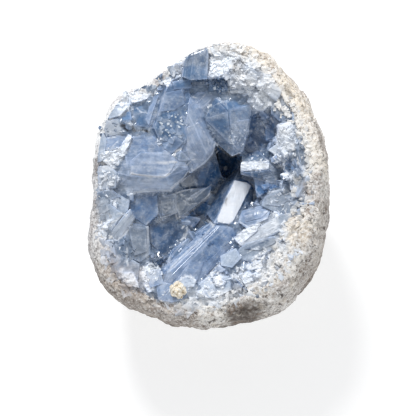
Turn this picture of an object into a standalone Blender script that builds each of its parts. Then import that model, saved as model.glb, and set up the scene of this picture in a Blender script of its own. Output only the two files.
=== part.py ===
"""Celestite geode: a bowl of pale rock lined with one crust of blue crystals.

Run with blender --background --python part.py. Lengths are in metres and +Z is up.

The stone is modelled in its own frame, whose origin is the middle of its girdle, the
widest ring: x to the right and y up across the opening, z out of the opening. An empty
tips that frame back until the stone lies on the small flat spot of its back.
"""
import math
import random

import bmesh
import bpy
from mathutils import Matrix, Vector, noise
from mathutils.geometry import intersect_point_tri_2d

MM = 0.001

# Driving dimensions
STONE_WIDTH = 56.4 * MM        # girdle, left to right
STONE_HEIGHT = 66.6 * MM       # girdle, lower end to upper end
BACK_DEPTH = 33.0 * MM         # girdle to the pole of the back
RIM_RISE = 9.5 * MM            # girdle to the rim of the opening, mean value
FLOOR_DEPTH = 24.0 * MM        # girdle to the deepest point of the hollow in the rock
LEAN = math.radians(22)        # the opening looks this far away from straight up
REST_CUT = 2.2 * MM            # depth of the flat spot below the round of the back
GAP = 0.3 * MM                 # clearance between rock, crystals and grain

# Resolution of the turned surfaces
SEGMENTS = 60
SHOULDER_RINGS = 4
BACK_RINGS = 9
HOLLOW_RINGS = 8

# How the opening was drawn: corners of crystals are given as seen from the front, in
# steps of VIEW_STEP, by someone VIEW_DISTANCE away whose line of sight is VIEW_CENTRE.
VIEW_STEP = STONE_WIDTH / 240
VIEW_DISTANCE = 300.0 * MM
VIEW_CENTRE = (208.0, 208.0)
GIRDLE_CENTRE = (208.0, 186.5)

# Radius of the girdle in millimetres, every 15 degrees counter-clockwise from +x
GIRDLE_MM = (28.2, 28.7, 29.6, 31.0, 32.7, 34.1, 32.4, 29.6, 28.1, 29.6, 28.8, 27.5,
             26.7, 28.4, 31.7, 33.9, 33.4, 33.1, 33.1, 33.0, 33.8, 32.4, 30.6, 29.1)

# Width of the rock shoulder between girdle and opening, every 45 degrees from +x
SHOULDER_MM = (3.9, 3.6, 1.1, 1.8, 2.0, 3.1, 4.0, 6.4)

# Rise of the rim above its mean height, every 45 degrees from +x
RIM_WAVE_MM = (1.2, 0.4, -2.2, -3.8, -2.2, -0.4, 1.2, 2.2)

# How far crystals reach out over the lip, every 45 degrees from +x
COVER_MM = (0.9, 1.0, 1.4, 1.8, 2.0, 1.2, 0.9, 0.9)

# Width of the broken lip, every 45 degrees from +x
LIP_MM = (1.4, 1.4, 0.9, 1.0, 1.2, 1.4, 1.4, 1.8)

ROCK_COLOUR = (0.62, 0.58, 0.53, 1.0)
CRYSTAL_COLOUR = (0.36, 0.50, 0.68, 1.0)
GRAIN_COLOUR = (0.72, 0.58, 0.36, 1.0)


def clear_scene():
    for item in list(bpy.data.objects):
        bpy.data.objects.remove(item, do_unlink=True)


def around(values, angle):
    """A smooth closed curve through values spaced evenly over the full circle."""
    count = len(values)
    place = (angle / math.tau * count) % count
    first = int(place)
    part = place - first
    a, b, c, d = (values[(first + step) % count] for step in (-1, 0, 1, 2))
    bend = 2 * b + (c - a) * part
    bend += (2 * a - 5 * b + 4 * c - d) * part ** 2
    bend += (3 * b - a - 3 * c + d) * part ** 3
    return bend / 2 * MM


def girdle_radius(angle):
    return around(GIRDLE_MM, angle)


def rim_height(angle):
    broken = noise.noise(Vector((3.1 * math.cos(angle), 3.1 * math.sin(angle), 4.0)))
    return RIM_RISE + around(RIM_WAVE_MM, angle) + 0.7 * MM * broken


def lip_outer(angle):
    return girdle_radius(angle) - around(SHOULDER_MM, angle)


def lip_inner(angle):
    broken = noise.noise(Vector((5.3 * math.cos(angle), 5.3 * math.sin(angle), 9.0)))
    return lip_outer(angle) - around(LIP_MM, angle) * (1.0 + 0.35 * broken)


def seen_at(x, y, z_mm):
    """The point that is seen from the front at (x, y) and lies z_mm above the girdle."""
    depth = z_mm * MM
    nearer = VIEW_STEP * (1 - depth / VIEW_DISTANCE)
    sight_y = (GIRDLE_CENTRE[1] - VIEW_CENTRE[1]) * VIEW_STEP
    return Vector(((x - VIEW_CENTRE[0]) * nearer,
                   (VIEW_CENTRE[1] - y) * nearer + sight_y, depth))


def ring(radius, height):
    """Corners of one ring, whose radius and height are functions of the angle."""
    corners = []
    for step in range(SEGMENTS):
        angle = math.tau * step / SEGMENTS
        corners.append(Vector((radius(angle) * math.cos(angle),
                               radius(angle) * math.sin(angle), height(angle))))
    return corners


def lumpy(corners, amount, scale, seed):
    """Moves corners in and out along the line from the stone's middle."""
    moved = []
    for corner in corners:
        place = corner / (scale * MM) + Vector((seed, 0.0, 0.0))
        swell = noise.noise(place) + 0.5 * noise.noise(place * 2.3)
        moved.append(corner + corner.normalized() * (amount * MM * swell))
    return moved


def shoulder_rings():
    """The rock outside the opening, from the lip's outer edge down to the girdle."""
    rings = []
    for step in range(1, SHOULDER_RINGS + 1):
        turn = math.pi / 2 * (1 - step / SHOULDER_RINGS)

        def radius(angle, turn=turn):
            inner = lip_outer(angle)
            return inner + (girdle_radius(angle) - inner) * math.cos(turn) ** 0.8

        def height(angle, turn=turn):
            return rim_height(angle) * math.sin(turn) ** 0.8

        fade = math.cos(turn) * (0.35 if step == SHOULDER_RINGS else 0.8)
        rings.append(lumpy(ring(radius, height), fade, 5.5, 2.0))
    return rings


def back_rings():
    """The round back, from the girdle to near its pole. It grows rounder on the way."""
    mean = sum(GIRDLE_MM) / len(GIRDLE_MM) * MM
    rings = []
    for step in range(1, BACK_RINGS):
        turn = math.pi / 2 * step / BACK_RINGS
        evenness = 0.7 * math.sin(turn)

        def radius(angle, turn=turn, evenness=evenness):
            own = girdle_radius(angle)
            return (own + (mean - own) * evenness) * math.cos(turn) ** 0.93

        def height(angle, turn=turn):
            return -BACK_DEPTH * math.sin(turn) ** 0.97

        rings.append(lumpy(lumpy(ring(radius, height), 1.2, 9.0, 5.0), 0.5, 3.5, 1.0))
    return rings


def hollow_rings(inset, floor):
    """A bowl inside the lip, from the rim to near its floor, inset all round."""
    rings = []
    for step in range(HOLLOW_RINGS):
        turn = math.pi / 2 * step / HOLLOW_RINGS

        def radius(angle, turn=turn):
            return (lip_inner(angle) - inset) * math.cos(turn) ** 0.85

        def height(angle, turn=turn):
            rim = rim_height(angle)
            return rim - (rim + floor) * math.sin(turn) ** 0.95

        rings.append(ring(radius, height))
    return rings


def skin(rings, first_pole=None, last_pole=None):
    """Closed mesh over rings of equal length, with its faces pointing out."""
    mesh = bmesh.new()
    rows = [[mesh.verts.new(corner) for corner in corners] for corners in rings]
    for upper, lower in zip(rows, rows[1:]):
        for step in range(SEGMENTS):
            after = (step + 1) % SEGMENTS
            mesh.faces.new((upper[step], lower[step], lower[after], upper[after]))
    for pole, row in ((first_pole, rows[0]), (last_pole, rows[-1])):
        if pole is not None:
            tip = mesh.verts.new(pole)
            for step in range(SEGMENTS):
                mesh.faces.new((tip, row[step], row[(step + 1) % SEGMENTS]))
    bmesh.ops.recalc_face_normals(mesh, faces=mesh.faces)
    bmesh.ops.triangulate(mesh, faces=mesh.faces)
    return mesh


def to_object(mesh, name, is_helper=False):
    data = bpy.data.meshes.new(name)
    mesh.to_mesh(data)
    mesh.free()
    item = bpy.data.objects.new(name, data)
    bpy.context.scene.collection.objects.link(item)
    if is_helper:
        item.hide_render = True
        item.display_type = "WIRE"
    return item


def add_material(item, name, colour, roughness):
    material = bpy.data.materials.new(name)
    material.use_nodes = True
    shader = material.node_tree.nodes["Principled BSDF"]
    shader.inputs["Base Color"].default_value = colour
    shader.inputs["Roughness"].default_value = roughness
    shader.inputs["Metallic"].default_value = 0.0
    item.data.materials.clear()
    item.data.materials.append(material)


def up_in_stone():
    """The world's up direction, in the stone's own frame."""
    return Vector((0.0, math.sin(LEAN), math.cos(LEAN)))


def rest_level(mesh):
    """How far below the girdle's middle the flat spot lies."""
    up = up_in_stone()
    return min(vertex.co.dot(up) for vertex in mesh.verts) + REST_CUT


def build_rock():
    """The rock bowl, with the flat spot ground into its back."""
    outside = [ring(lip_outer, rim_height)] + shoulder_rings() + back_rings()
    inside = hollow_rings(0.0, FLOOR_DEPTH)
    pole = Vector((0.0, 0.0, -BACK_DEPTH))
    floor = Vector((0.0, 0.0, -FLOOR_DEPTH))
    mesh = skin(list(reversed(inside)) + outside, first_pole=floor, last_pole=pole)
    level = rest_level(mesh)
    cut = bmesh.ops.bisect_plane(mesh, geom=mesh.verts[:] + mesh.edges[:] + mesh.faces[:],
                                 plane_co=up_in_stone() * level, plane_no=up_in_stone(),
                                 clear_inner=True)
    border = [part for part in cut["geom_cut"] if isinstance(part, bmesh.types.BMEdge)]
    bmesh.ops.edgeloop_fill(mesh, edges=border)
    bmesh.ops.recalc_face_normals(mesh, faces=mesh.faces)
    rock = to_object(mesh, "rock_shell")
    add_material(rock, "mottled_rock", ROCK_COLOUR, 0.85)
    return rock, level


# Crystals, each as the corners of its crown (x, y as seen, z in millimetres above the
# girdle), the middle of its root, and the root's size beside the crown's.
LARGE_CRYSTALS = {
    "broad_slab": (
        ((131, 138, 6.4), (139, 133, 6.1), (151, 133, 6.1), (161, 141, 6.2),
         (183, 160, 6.3), (189, 168, 6.0), (178, 166, 7.6), (166, 177, 8.3),
         (129, 176, 8.5), (187, 175, 4.6), (176, 184, 4.6), (171, 191, 4.8),
         (146, 192, 5.4), (127, 194, 5.3), (117, 187, 5.8), (116, 172, 6.9),
         (125, 150, 6.9)), (138, 162, -8), 0.8),
    "upper_left_prism": (
        ((168, 84, 6.6), (188, 86, 6.0), (193, 104, 6.2), (187, 140, 7.4),
         (178, 158, 6.6), (160, 142, 6.9), (154, 128, 7.4), (161, 105, 7.2),
         (163, 87, 5.2), (149, 128, 5.6), (151, 134, 5.4)), (166, 112, -7), 0.8),
    "round_tip_prism": (
        ((190, 97, 6.4), (201, 107, 6.0), (204, 118, 6.0), (216, 143, 4.4),
         (213, 154, 3.9), (205, 164, 3.9), (190, 174, 4.5), (180, 160, 6.2),
         (184, 135, 7.3), (188, 112, 7.4), (200, 140, 7.0), (207, 154, 5.6)),
        (184, 122, -7), 0.7),
    "hanging_crystal": (
        ((204, 118, 5.0), (208, 106, 5.4), (215, 98, 5.5), (226, 95, 5.6),
         (242, 99, 5.8), (251, 105, 5.8), (252, 114, 5.4), (248, 135, 4.4),
         (243, 152, 3.4), (232, 157, 3.0), (217, 144, 3.7), (229, 110, 7.0),
         (234, 145, 5.2)), (230, 104, -5), 0.62),
    "top_block": (
        ((183, 58, 6.2), (190, 53, 5.4), (200, 50, 5.0), (208, 53, 5.6),
         (207, 79, 8.2), (190, 80, 8.4), (181, 77, 7.6)), (196, 74, -4), 0.8),
    "dark_back_face": (
        ((252, 118, 3.0), (276, 117, 4.4), (274, 131, 3.6), (262, 150, 0.2),
         (247, 153, -1.0), (250, 132, 1.0)), (266, 124, -10), 0.8),
    "frosted_block": (
        ((277, 124, 8.8), (291, 122, 9.6), (296, 136, 9.8), (296, 147, 9.4),
         (286, 151, 8.4), (277, 140, 8.0)), (287, 134, -3), 0.9),
    "right_wedge": (
        ((240, 163, 3.2), (246, 154, 1.6), (257, 149, 1.2), (269, 156, 2.0),
         (269, 161, 4.4), (268, 169, 4.4), (240, 171, 3.8), (240, 175, 2.2),
         (262, 180, 1.8), (277, 184, 1.8), (284, 178, 3.4)), (282, 168, -5), 0.6),
    "bright_prism": (
        ((234, 180, -0.8), (251, 185, -1.2), (231, 224, 3.2), (214, 224, 3.2),
         (206, 213, -1.0), (222, 182, -5.0), (240, 167, -6.0), (263, 197, -4.0),
         (256, 207, -2.0)), (236, 214, -12), 0.7),
    "dark_left_wall": (
        ((172, 189, 1.0), (190, 174, 0.0), (215, 150, -2.4), (222, 176, -5.0),
         (214, 193, -5.0), (203, 190, -2.0), (190, 198, -1.0)), (186, 176, -12), 0.8),
    "pale_edged_blade": (
        ((175, 190, 2.0), (190, 197, 1.6), (205, 188, 0.4), (212, 186, -0.6),
         (210, 195, -0.6), (179, 219, 1.8), (174, 206, 2.4)), (182, 204, -9), 0.7),
    "grey_block": (
        ((149, 226, 3.4), (175, 216, 1.8), (188, 226, 0.2), (182, 243, 1.2),
         (167, 259, 3.4), (150, 243, 4.0)), (163, 236, -8), 0.8),
    "long_prism": (
        ((163, 269, 7.2), (212, 223, 1.8), (168, 273, 8.6), (218, 226, 3.6),
         (232, 228, 3.4), (241, 232, 2.8), (238, 242, 3.4), (205, 276, 7.6),
         (195, 287, 8.6), (173, 291, 9.2), (163, 284, 8.6)), (198, 262, -8), 0.75),
    "thin_blade": (
        ((166, 262, 5.2), (171, 251, 4.2), (190, 238, 2.2), (203, 226, 0.6),
         (212, 222, 1.0), (168, 271, 6.2)), (186, 248, -9), 0.8),
    "low_dark_crystal": (
        ((187, 221, -1.4), (205, 213, -2.4), (212, 222, -1.6), (200, 238, 0.4),
         (189, 235, -0.4)), (200, 230, -12), 0.9),
    "lower_left_facet": (
        ((130, 200, 5.0), (157, 195, 4.2), (159, 214, 4.2), (146, 226, 4.8),
         (131, 216, 5.6)), (142, 210, -6), 0.8),
    "ringed_crystal": (
        ((158, 197, 3.6), (176, 193, 2.6), (178, 213, 2.6), (160, 219, 3.8)),
        (168, 206, -7), 0.8),
    "left_parallelogram": (
        ((104, 239, 7.6), (130, 209, 7.0), (135, 217, 6.2), (119, 242, 7.0)),
        (124, 226, -3), 0.8),
    "left_grey_prism": (
        ((128, 222, 6.2), (149, 226, 5.0), (151, 254, 5.4), (140, 263, 6.4),
         (125, 256, 7.2)), (138, 242, -5), 0.8),
    "right_pale_block": (
        ((262, 200, 4.2), (268, 191, 4.4), (284, 188, 6.0), (300, 197, 8.8),
         (296, 212, 9.2), (278, 214, 7.2), (261, 206, 5.0)), (284, 204, -4), 0.8),
    "streaked_crystal": (
        ((237, 222, 3.6), (241, 210, 2.6), (258, 205, 3.8), (272, 208, 5.6),
         (268, 219, 6.6), (246, 229, 5.8)), (262, 224, -7), 0.8),
    "slanted_prism": (
        ((240, 240, 5.6), (262, 226, 7.2), (280, 214, 8.6), (297, 213, 9.8),
         (291, 226, 10.0), (262, 241, 8.8), (243, 251, 7.4)), (270, 230, -4), 0.8),
    "lower_right_prism": (
        ((238, 250, 7.0), (246, 243, 7.8), (273, 236, 9.6), (283, 240, 10.2),
         (264, 256, 9.8), (250, 263, 9.0), (240, 259, 7.8)), (262, 250, -3), 0.8),
}

SMALL_CRYSTALS = {
    "upper_left_chip": (
        ((121, 118, 6.2), (130, 109, 6.0), (132, 120, 6.8), (124, 126, 6.6)),
        (130, 120, -3), 0.9),
    "upper_left_stub": (
        ((132, 109, 6.0), (137, 101, 5.6), (153, 100, 5.6), (161, 104, 5.8),
         (155, 119, 6.6), (149, 128, 6.4), (137, 126, 6.4)), (146, 116, -4), 0.8),
    "left_rim_block": (
        ((104, 138, 7.0), (128, 132, 6.2), (131, 142, 6.4), (121, 149, 7.0),
         (106, 151, 7.6)), (120, 142, -2), 0.8),
    "left_frosted_block": (
        ((104, 152, 7.6), (123, 150, 7.0), (118, 164, 7.4), (106, 164, 7.8)),
        (116, 157, -2), 0.8),
    "left_upper_block": (
        ((103, 124, 6.4), (118, 117, 6.2), (124, 128, 6.6), (128, 133, 6.4),
         (106, 137, 7.0)), (118, 128, -2), 0.8),
    "top_left_facet": (
        ((171, 68, 5.2), (182, 60, 5.2), (181, 77, 6.8), (171, 81, 6.4)),
        (180, 76, -3), 0.8),
    "top_frosted_block": (
        ((208, 53, 6.0), (238, 48, 6.4), (241, 53, 7.6), (231, 68, 8.4),
         (226, 77, 8.6), (208, 79, 8.4)), (224, 72, -3), 0.8),
    "notched_block": (
        ((228, 76, 8.2), (240, 66, 9.0), (252, 66, 9.4), (258, 72, 9.6),
         (258, 84, 9.0), (250, 93, 7.6), (230, 93, 6.6)), (244, 84, -3), 0.8),
    "pale_chip": (
        ((252, 94, 6.8), (262, 92, 7.8), (272, 103, 7.6), (263, 112, 6.4),
         (253, 110, 6.0)), (264, 102, -3), 0.9),
    "upper_right_block": (
        ((259, 84, 9.0), (274, 80, 9.8), (282, 92, 9.8), (277, 102, 8.8),
         (263, 91, 8.6)), (272, 92, -2), 0.8),
    "centre_ledge": (
        ((189, 90, 4.8), (208, 88, 4.6), (228, 88, 5.0), (226, 98, 5.4),
         (205, 108, 5.2), (192, 104, 5.4)), (208, 94, -6), 0.9),
    "dark_chip": (
        ((271, 104, 6.6), (282, 98, 7.4), (284, 110, 7.6), (276, 116, 6.6)),
        (280, 106, -3), 0.9),
    "right_grey_block": (
        ((293, 126, 9.4), (303, 123, 9.6), (307, 136, 10.0), (300, 147, 9.8)),
        (298, 136, 0), 0.8),
    "right_round_block": (
        ((291, 152, 8.6), (303, 149, 9.4), (310, 157, 10.0), (309, 167, 10.2),
         (300, 172, 9.8), (292, 164, 8.6)), (298, 160, -1), 0.8),
    "right_sparkling_block": (
        ((268, 150, 5.8), (279, 142, 7.4), (287, 151, 8.0), (288, 159, 7.8),
         (280, 159, 6.8)), (282, 150, -3), 0.9),
    "right_stub": (
        ((283, 161, 6.4), (293, 163, 8.2), (298, 171, 9.2), (291, 179, 8.6),
         (284, 173, 6.8)), (291, 170, -2), 0.9),
    "left_low_block": (
        ((100, 202, 7.6), (118, 194, 6.6), (130, 200, 6.2), (128, 211, 6.8),
         (108, 228, 7.8)), (120, 208, -2), 0.8),
    "left_dark_stub": (
        ((117, 241, 6.8), (128, 224, 6.4), (127, 256, 7.0), (119, 262, 8.0),
         (110, 250, 8.0)), (124, 244, -2), 0.8),
    "white_block": (
        ((139, 278, 8.8), (143, 267, 8.4), (151, 262, 8.0), (160, 268, 8.2),
         (157, 279, 9.2), (148, 283, 9.6)), (152, 272, -2), 0.8),
    "white_stub": (
        ((143, 283, 9.4), (154, 281, 9.4), (155, 290, 9.8), (148, 293, 9.9)),
        (152, 282, 0), 0.9),
    "lower_left_chunk": (
        ((156, 281, 9.2), (170, 284, 9.6), (188, 287, 10.2), (187, 298, 10.9),
         (172, 303, 11.0), (158, 300, 10.6)), (172, 288, 0), 0.9),
    "lower_chunk": (
        ((190, 289, 8.8), (209, 276, 8.6), (229, 276, 9.2), (232, 290, 10.2),
         (215, 298, 10.6), (195, 299, 10.4)), (212, 280, -1), 0.8),
    "white_chip": (
        ((213, 277, 9.6), (222, 274, 9.4), (225, 284, 10.4), (216, 287, 10.4)),
        (219, 276, 1), 0.9),
    "round_frosted_block": (
        ((239, 273, 9.6), (250, 270, 10.0), (254, 280, 10.8), (245, 287, 10.8)),
        (246, 272, 0), 0.9),
    "ring_block": (
        ((178, 280, 9.6), (187, 275, 9.4), (197, 280, 9.8), (194, 287, 10.2),
         (183, 288, 10.4)), (188, 278, 0), 0.9),
    "right_low_chip": (
        ((281, 228, 9.8), (298, 216, 10.2), (303, 229, 10.8), (286, 238, 10.6)),
        (288, 226, 0), 0.8),
    "lower_right_chip": (
        ((243, 265, 9.2), (267, 258, 10.2), (263, 268, 10.6), (248, 271, 10.2)),
        (256, 260, 0), 0.8),
}

# The cream grain sits in a pocket of the lower crystals
GRAIN_PLACE = (178, 290, 10.9)
GRAIN_RADII = (1.75 * MM, 1.95 * MM, 1.3 * MM)

# Broken pieces along the rim and deep in the hollow, which no single drawing names
RIM_PIECES = 34
RIM_LEVEL_MM = (-1.6, 0.3)
SLOPE_PIECES = 44
SLOPE_RINGS = 6
SLOPE_POWER = 1.15
DUCK = 3.5 * MM                # how much lower they stand below a large crystal
RIM_SINK = 2.4 * MM            # crystal layer's edge below the rock's rim
RIM_INSET = 1.6 * MM           # and inside it
VOID_PLACE = (226, 168, -13)


def crystal(corners, root, root_size):
    """Convex block between a drawn crown and a root of the same outline, deeper down."""
    crown = [seen_at(*corner) for corner in corners]
    middle = sum(crown, Vector()) / len(crown)
    foot = seen_at(*root)
    points = list(crown)
    for point in crown:
        side = (point - middle) * root_size
        side.z = 0.0
        points.append(foot + side)
    mesh = bmesh.new()
    for point in points:
        mesh.verts.new(point)
    made = bmesh.ops.convex_hull(mesh, input=mesh.verts)
    spare = [part for part in made["geom_interior"] if isinstance(part, bmesh.types.BMVert)]
    bmesh.ops.delete(mesh, geom=spare, context="VERTS")
    bmesh.ops.dissolve_limit(mesh, angle_limit=math.radians(1), verts=mesh.verts,
                             edges=mesh.edges)
    bmesh.ops.recalc_face_normals(mesh, faces=mesh.faces)
    return mesh


def wedge_prism(foot, direction, length, width, seed):
    """A short chisel-ended crystal, six-sided, standing on foot along direction."""
    dice = random.Random(seed)
    frame = direction.to_track_quat("Z", "Y").to_matrix().to_4x4()
    frame = Matrix.Translation(foot) @ frame @ Matrix.Rotation(dice.uniform(0, math.pi), 4, "Z")
    thick = width * dice.uniform(0.45, 0.8)
    mesh = bmesh.new()
    outline = ((-0.5, 0.0), (-0.3, 0.5), (0.3, 0.5), (0.5, 0.0), (0.3, -0.5), (-0.3, -0.5))
    for across, along in outline:
        mesh.verts.new(frame @ Vector((across * width, along * thick, 0.0)))
        slope = length * (1 - 0.9 * abs(along) * thick / length)
        mesh.verts.new(frame @ Vector((across * width * 0.9, along * thick, slope)))
    mesh.verts.new(frame @ Vector((-0.25 * width, 0.0, length)))
    mesh.verts.new(frame @ Vector((0.2 * width, 0.0, length)))
    made = bmesh.ops.convex_hull(mesh, input=mesh.verts)
    spare = [part for part in made["geom_interior"] if isinstance(part, bmesh.types.BMVert)]
    bmesh.ops.delete(mesh, geom=spare, context="VERTS")
    bmesh.ops.recalc_face_normals(mesh, faces=mesh.faces)
    return mesh


def rim_pieces():
    """Stubby broken crystals just inside the lip, tops near the rim's height."""
    dice = random.Random(11)
    pieces = []
    for number in range(RIM_PIECES):
        angle = math.tau * (number + dice.uniform(-0.3, 0.3)) / RIM_PIECES
        reach = lip_inner(angle) - dice.uniform(0.4, 2.2) * MM
        top = rim_height(angle) + dice.uniform(*RIM_LEVEL_MM) * MM
        length = dice.uniform(5.0, 8.0) * MM
        inward = Vector((-math.cos(angle), -math.sin(angle), dice.uniform(1.6, 4.0)))
        inward.normalize()
        tip = Vector((reach * math.cos(angle), reach * math.sin(angle), top))
        width = dice.uniform(4.5, 7.5) * MM
        pieces.append(wedge_prism(tip - inward * length, inward, length, width, number))
    return pieces


def front_view(point):
    """Where a point is seen from the front, the other way round from seen_at."""
    sight_y = (GIRDLE_CENTRE[1] - VIEW_CENTRE[1]) * VIEW_STEP
    nearer = VIEW_STEP * (1 - point.z / VIEW_DISTANCE)
    return Vector((VIEW_CENTRE[0] + point.x / nearer,
                   VIEW_CENTRE[1] - (point.y - sight_y) / nearer))


def is_under_large_crystal(point):
    """True where a large crystal's crown covers the point, seen from the front."""
    spot = front_view(point)
    for corners, root, root_size in LARGE_CRYSTALS.values():
        flat = [Vector((x, y)) for x, y, height in corners]
        middle = sum(flat, Vector((0.0, 0.0))) / len(flat)
        flat.sort(key=lambda corner: math.atan2(*(corner - middle)))
        for first, second in zip(flat, flat[1:] + flat[:1]):
            if intersect_point_tri_2d(spot, middle, first, second):
                return True
    return False


def slope_pieces():
    """Crystals on the slope between the rim and the void, leaning over the void."""
    dice = random.Random(23)
    pieces = []
    for number in range(SLOPE_PIECES):
        angle = math.tau * (number * 0.618 % 1)
        reach = 0.16 + 0.74 * ((number + 0.5) / SLOPE_PIECES) ** 0.6
        foot = slope_point(angle, reach) - Vector((0.0, 0.0, 2.5 * MM))
        lean = Vector((-math.cos(angle), -math.sin(angle), dice.uniform(0.5, 2.4)))
        lean += Vector((dice.uniform(-0.6, 0.6), dice.uniform(-0.6, 0.6), 0.0))
        lean.normalize()
        length = dice.uniform(3.6, 5.8) * MM
        width = dice.uniform(4.0, 7.5) * MM
        if is_under_large_crystal(foot + lean * length):
            foot.z -= DUCK
        pieces.append(wedge_prism(foot, lean, length, width, 100 + number))
    return pieces


def slope_point(angle, reach):
    """A point of the crystal layer's face, from the void's floor (0) to the rim (1)."""
    edge = lip_inner(angle) - RIM_INSET
    rim = Vector((edge * math.cos(angle), edge * math.sin(angle), 0.0))
    void = seen_at(*VOID_PLACE)
    point = void.lerp(rim, reach)
    top = rim_height(angle) - RIM_SINK
    point.z = top + (void.z - top) * (1 - reach) ** SLOPE_POWER
    return point


def slope_rings():
    """The face of the crystal layer, which falls from the rim to the void."""
    rings = []
    for step in range(SLOPE_RINGS):
        reach = 1 - step / SLOPE_RINGS
        rings.append([slope_point(math.tau * turn / SEGMENTS, reach)
                      for turn in range(SEGMENTS)])
    return rings


def lining_mesh():
    """The crystal layer on the rock, a little too thick outside so that it can be cut."""
    spare = 1.2 * MM
    outside = hollow_rings(-spare, FLOOR_DEPTH + spare)
    for corner in outside[0]:
        corner.z -= RIM_SINK
    return skin(list(reversed(slope_rings())) + outside, first_pole=seen_at(*VOID_PLACE),
                last_pole=Vector((0.0, 0.0, -FLOOR_DEPTH - spare)))


def room_mesh():
    """The room that crystals may fill: the hollow, and the air above the lip."""
    above = 25.0 * MM

    def over_inner(angle):
        return lip_inner(angle) - GAP

    def over_edge(angle):
        return lip_inner(angle) + around(COVER_MM, angle)

    def lip_clear(angle):
        return rim_height(angle) + GAP * 1.2

    def ceiling(angle):
        return rim_height(angle) + above

    bowl = hollow_rings(GAP, FLOOR_DEPTH - GAP)
    rings = [ring(over_edge, ceiling), ring(over_edge, lip_clear),
             ring(over_inner, lip_clear)] + bowl[1:]
    return skin(rings, first_pole=Vector((0.0, 0.0, RIM_RISE + above)),
                last_pole=Vector((0.0, 0.0, -FLOOR_DEPTH + GAP)))


def boolean(item, other, operation):
    """Applies one Boolean with an object or a collection, with the solver that keeps
    more than a hundred overlapping blocks closed."""
    change = item.modifiers.new(operation.lower(), "BOOLEAN")
    change.operation = operation
    change.solver = "MANIFOLD"
    if isinstance(other, bpy.types.Collection):
        change.operand_type = "COLLECTION"
        change.collection = other
    else:
        change.object = other
    depsgraph = bpy.context.evaluated_depsgraph_get()
    result = bpy.data.meshes.new_from_object(item.evaluated_get(depsgraph))
    item.modifiers.clear()
    item.data = result


def keep_largest_body(item):
    """Leaves the largest connected surface: no loose chips and no sealed pockets."""
    mesh = bmesh.new()
    mesh.from_mesh(item.data)
    unseen = set(mesh.verts)
    bodies = []
    while unseen:
        body = set()
        edge_of_search = [unseen.pop()]
        while edge_of_search:
            vertex = edge_of_search.pop()
            body.add(vertex)
            for edge in vertex.link_edges:
                other = edge.other_vert(vertex)
                if other in unseen:
                    unseen.remove(other)
                    edge_of_search.append(other)
        bodies.append(body)
    bodies.sort(key=len)
    for body in bodies[:-1]:
        bmesh.ops.delete(mesh, geom=list(body), context="VERTS")
    bmesh.ops.triangulate(mesh, faces=mesh.faces)
    mesh.to_mesh(item.data)
    mesh.free()


def remove_helpers(items):
    for item in items:
        bpy.data.objects.remove(item, do_unlink=True)


def build_crust():
    """All crystals and their common base as one solid inside the hollow."""
    meshes = [crystal(*entry) for entry in LARGE_CRYSTALS.values()]
    meshes += [crystal(*entry) for entry in SMALL_CRYSTALS.values()]
    meshes += rim_pieces()
    meshes += slope_pieces()
    blocks = [to_object(mesh, "block", is_helper=True) for mesh in meshes]
    group = bpy.data.collections.new("blocks")
    for block in blocks:
        group.objects.link(block)
    crust = to_object(lining_mesh(), "crystal_crust")
    boolean(crust, group, "UNION")
    room = to_object(room_mesh(), "room", is_helper=True)
    boolean(crust, room, "INTERSECT")
    pocket = to_object(grain_mesh(GAP), "pocket", is_helper=True)
    boolean(crust, pocket, "DIFFERENCE")
    remove_helpers(blocks + [room, pocket])
    bpy.data.collections.remove(group)
    keep_largest_body(crust)
    add_material(crust, "celestite", CRYSTAL_COLOUR, 0.15)
    return crust


def grain_mesh(grow):
    """A knobbly little grain, or its pocket when it is grown all round."""
    mesh = bmesh.new()
    bmesh.ops.create_icosphere(mesh, subdivisions=2, radius=1.0)
    middle = seen_at(*GRAIN_PLACE)
    for vertex in mesh.verts:
        swell = 1 + 0.3 * noise.noise(vertex.co * 1.7 + Vector((8.0, 0.0, 0.0)))
        way = vertex.co.normalized()
        size = Vector([axis * radius * swell for axis, radius in zip(way, GRAIN_RADII)])
        vertex.co = middle + size + way * grow
    return mesh


def build_grain():
    grain = to_object(grain_mesh(0.0), "cream_grain")
    add_material(grain, "cream_mineral", GRAIN_COLOUR, 0.7)
    return grain


def lay_down(items, level):
    """Parents the pieces to an empty that tips the stone back onto its flat spot."""
    stone = bpy.data.objects.new("geode", None)
    bpy.context.scene.collection.objects.link(stone)
    tip = Matrix.Rotation(LEAN, 3, "X")
    corners = [tip @ vertex.co for item in items for vertex in item.data.vertices]
    middle_x = (min(c.x for c in corners) + max(c.x for c in corners)) / 2
    middle_y = (min(c.y for c in corners) + max(c.y for c in corners)) / 2
    stone.rotation_euler = (LEAN, 0.0, 0.0)
    stone.location = (-middle_x, -middle_y, -level)
    for item in items:
        item.parent = stone
    print("geode placed at", [round(value / MM, 3) for value in stone.location], "mm")


def build_geode():
    clear_scene()
    rock, level = build_rock()
    crust = build_crust()
    grain = build_grain()
    lay_down([rock, crust, grain], level)
    for item in (rock, crust, grain):
        print(item.name, len(item.data.polygons), "faces")


build_geode()
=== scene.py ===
# %% [markdown]
# # A celestite geode
#
# The real object is half of a hollow stone. Its rind is pale, sugary rock, and its hollow is
# lined with blue celestite, a heavy mineral that grows in flat, glassy blades and chisel-ended
# prisms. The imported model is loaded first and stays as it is: it says where the stone lies and
# how large it is. Each of its solids is then replaced by a finer mesh of the same shape.

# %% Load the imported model
import math
import random

import bmesh
import bpy
import numpy
from mathutils import Matrix, Vector, noise
from mathutils.bvhtree import BVHTree
from mathutils.geometry import intersect_point_tri_2d


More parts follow.
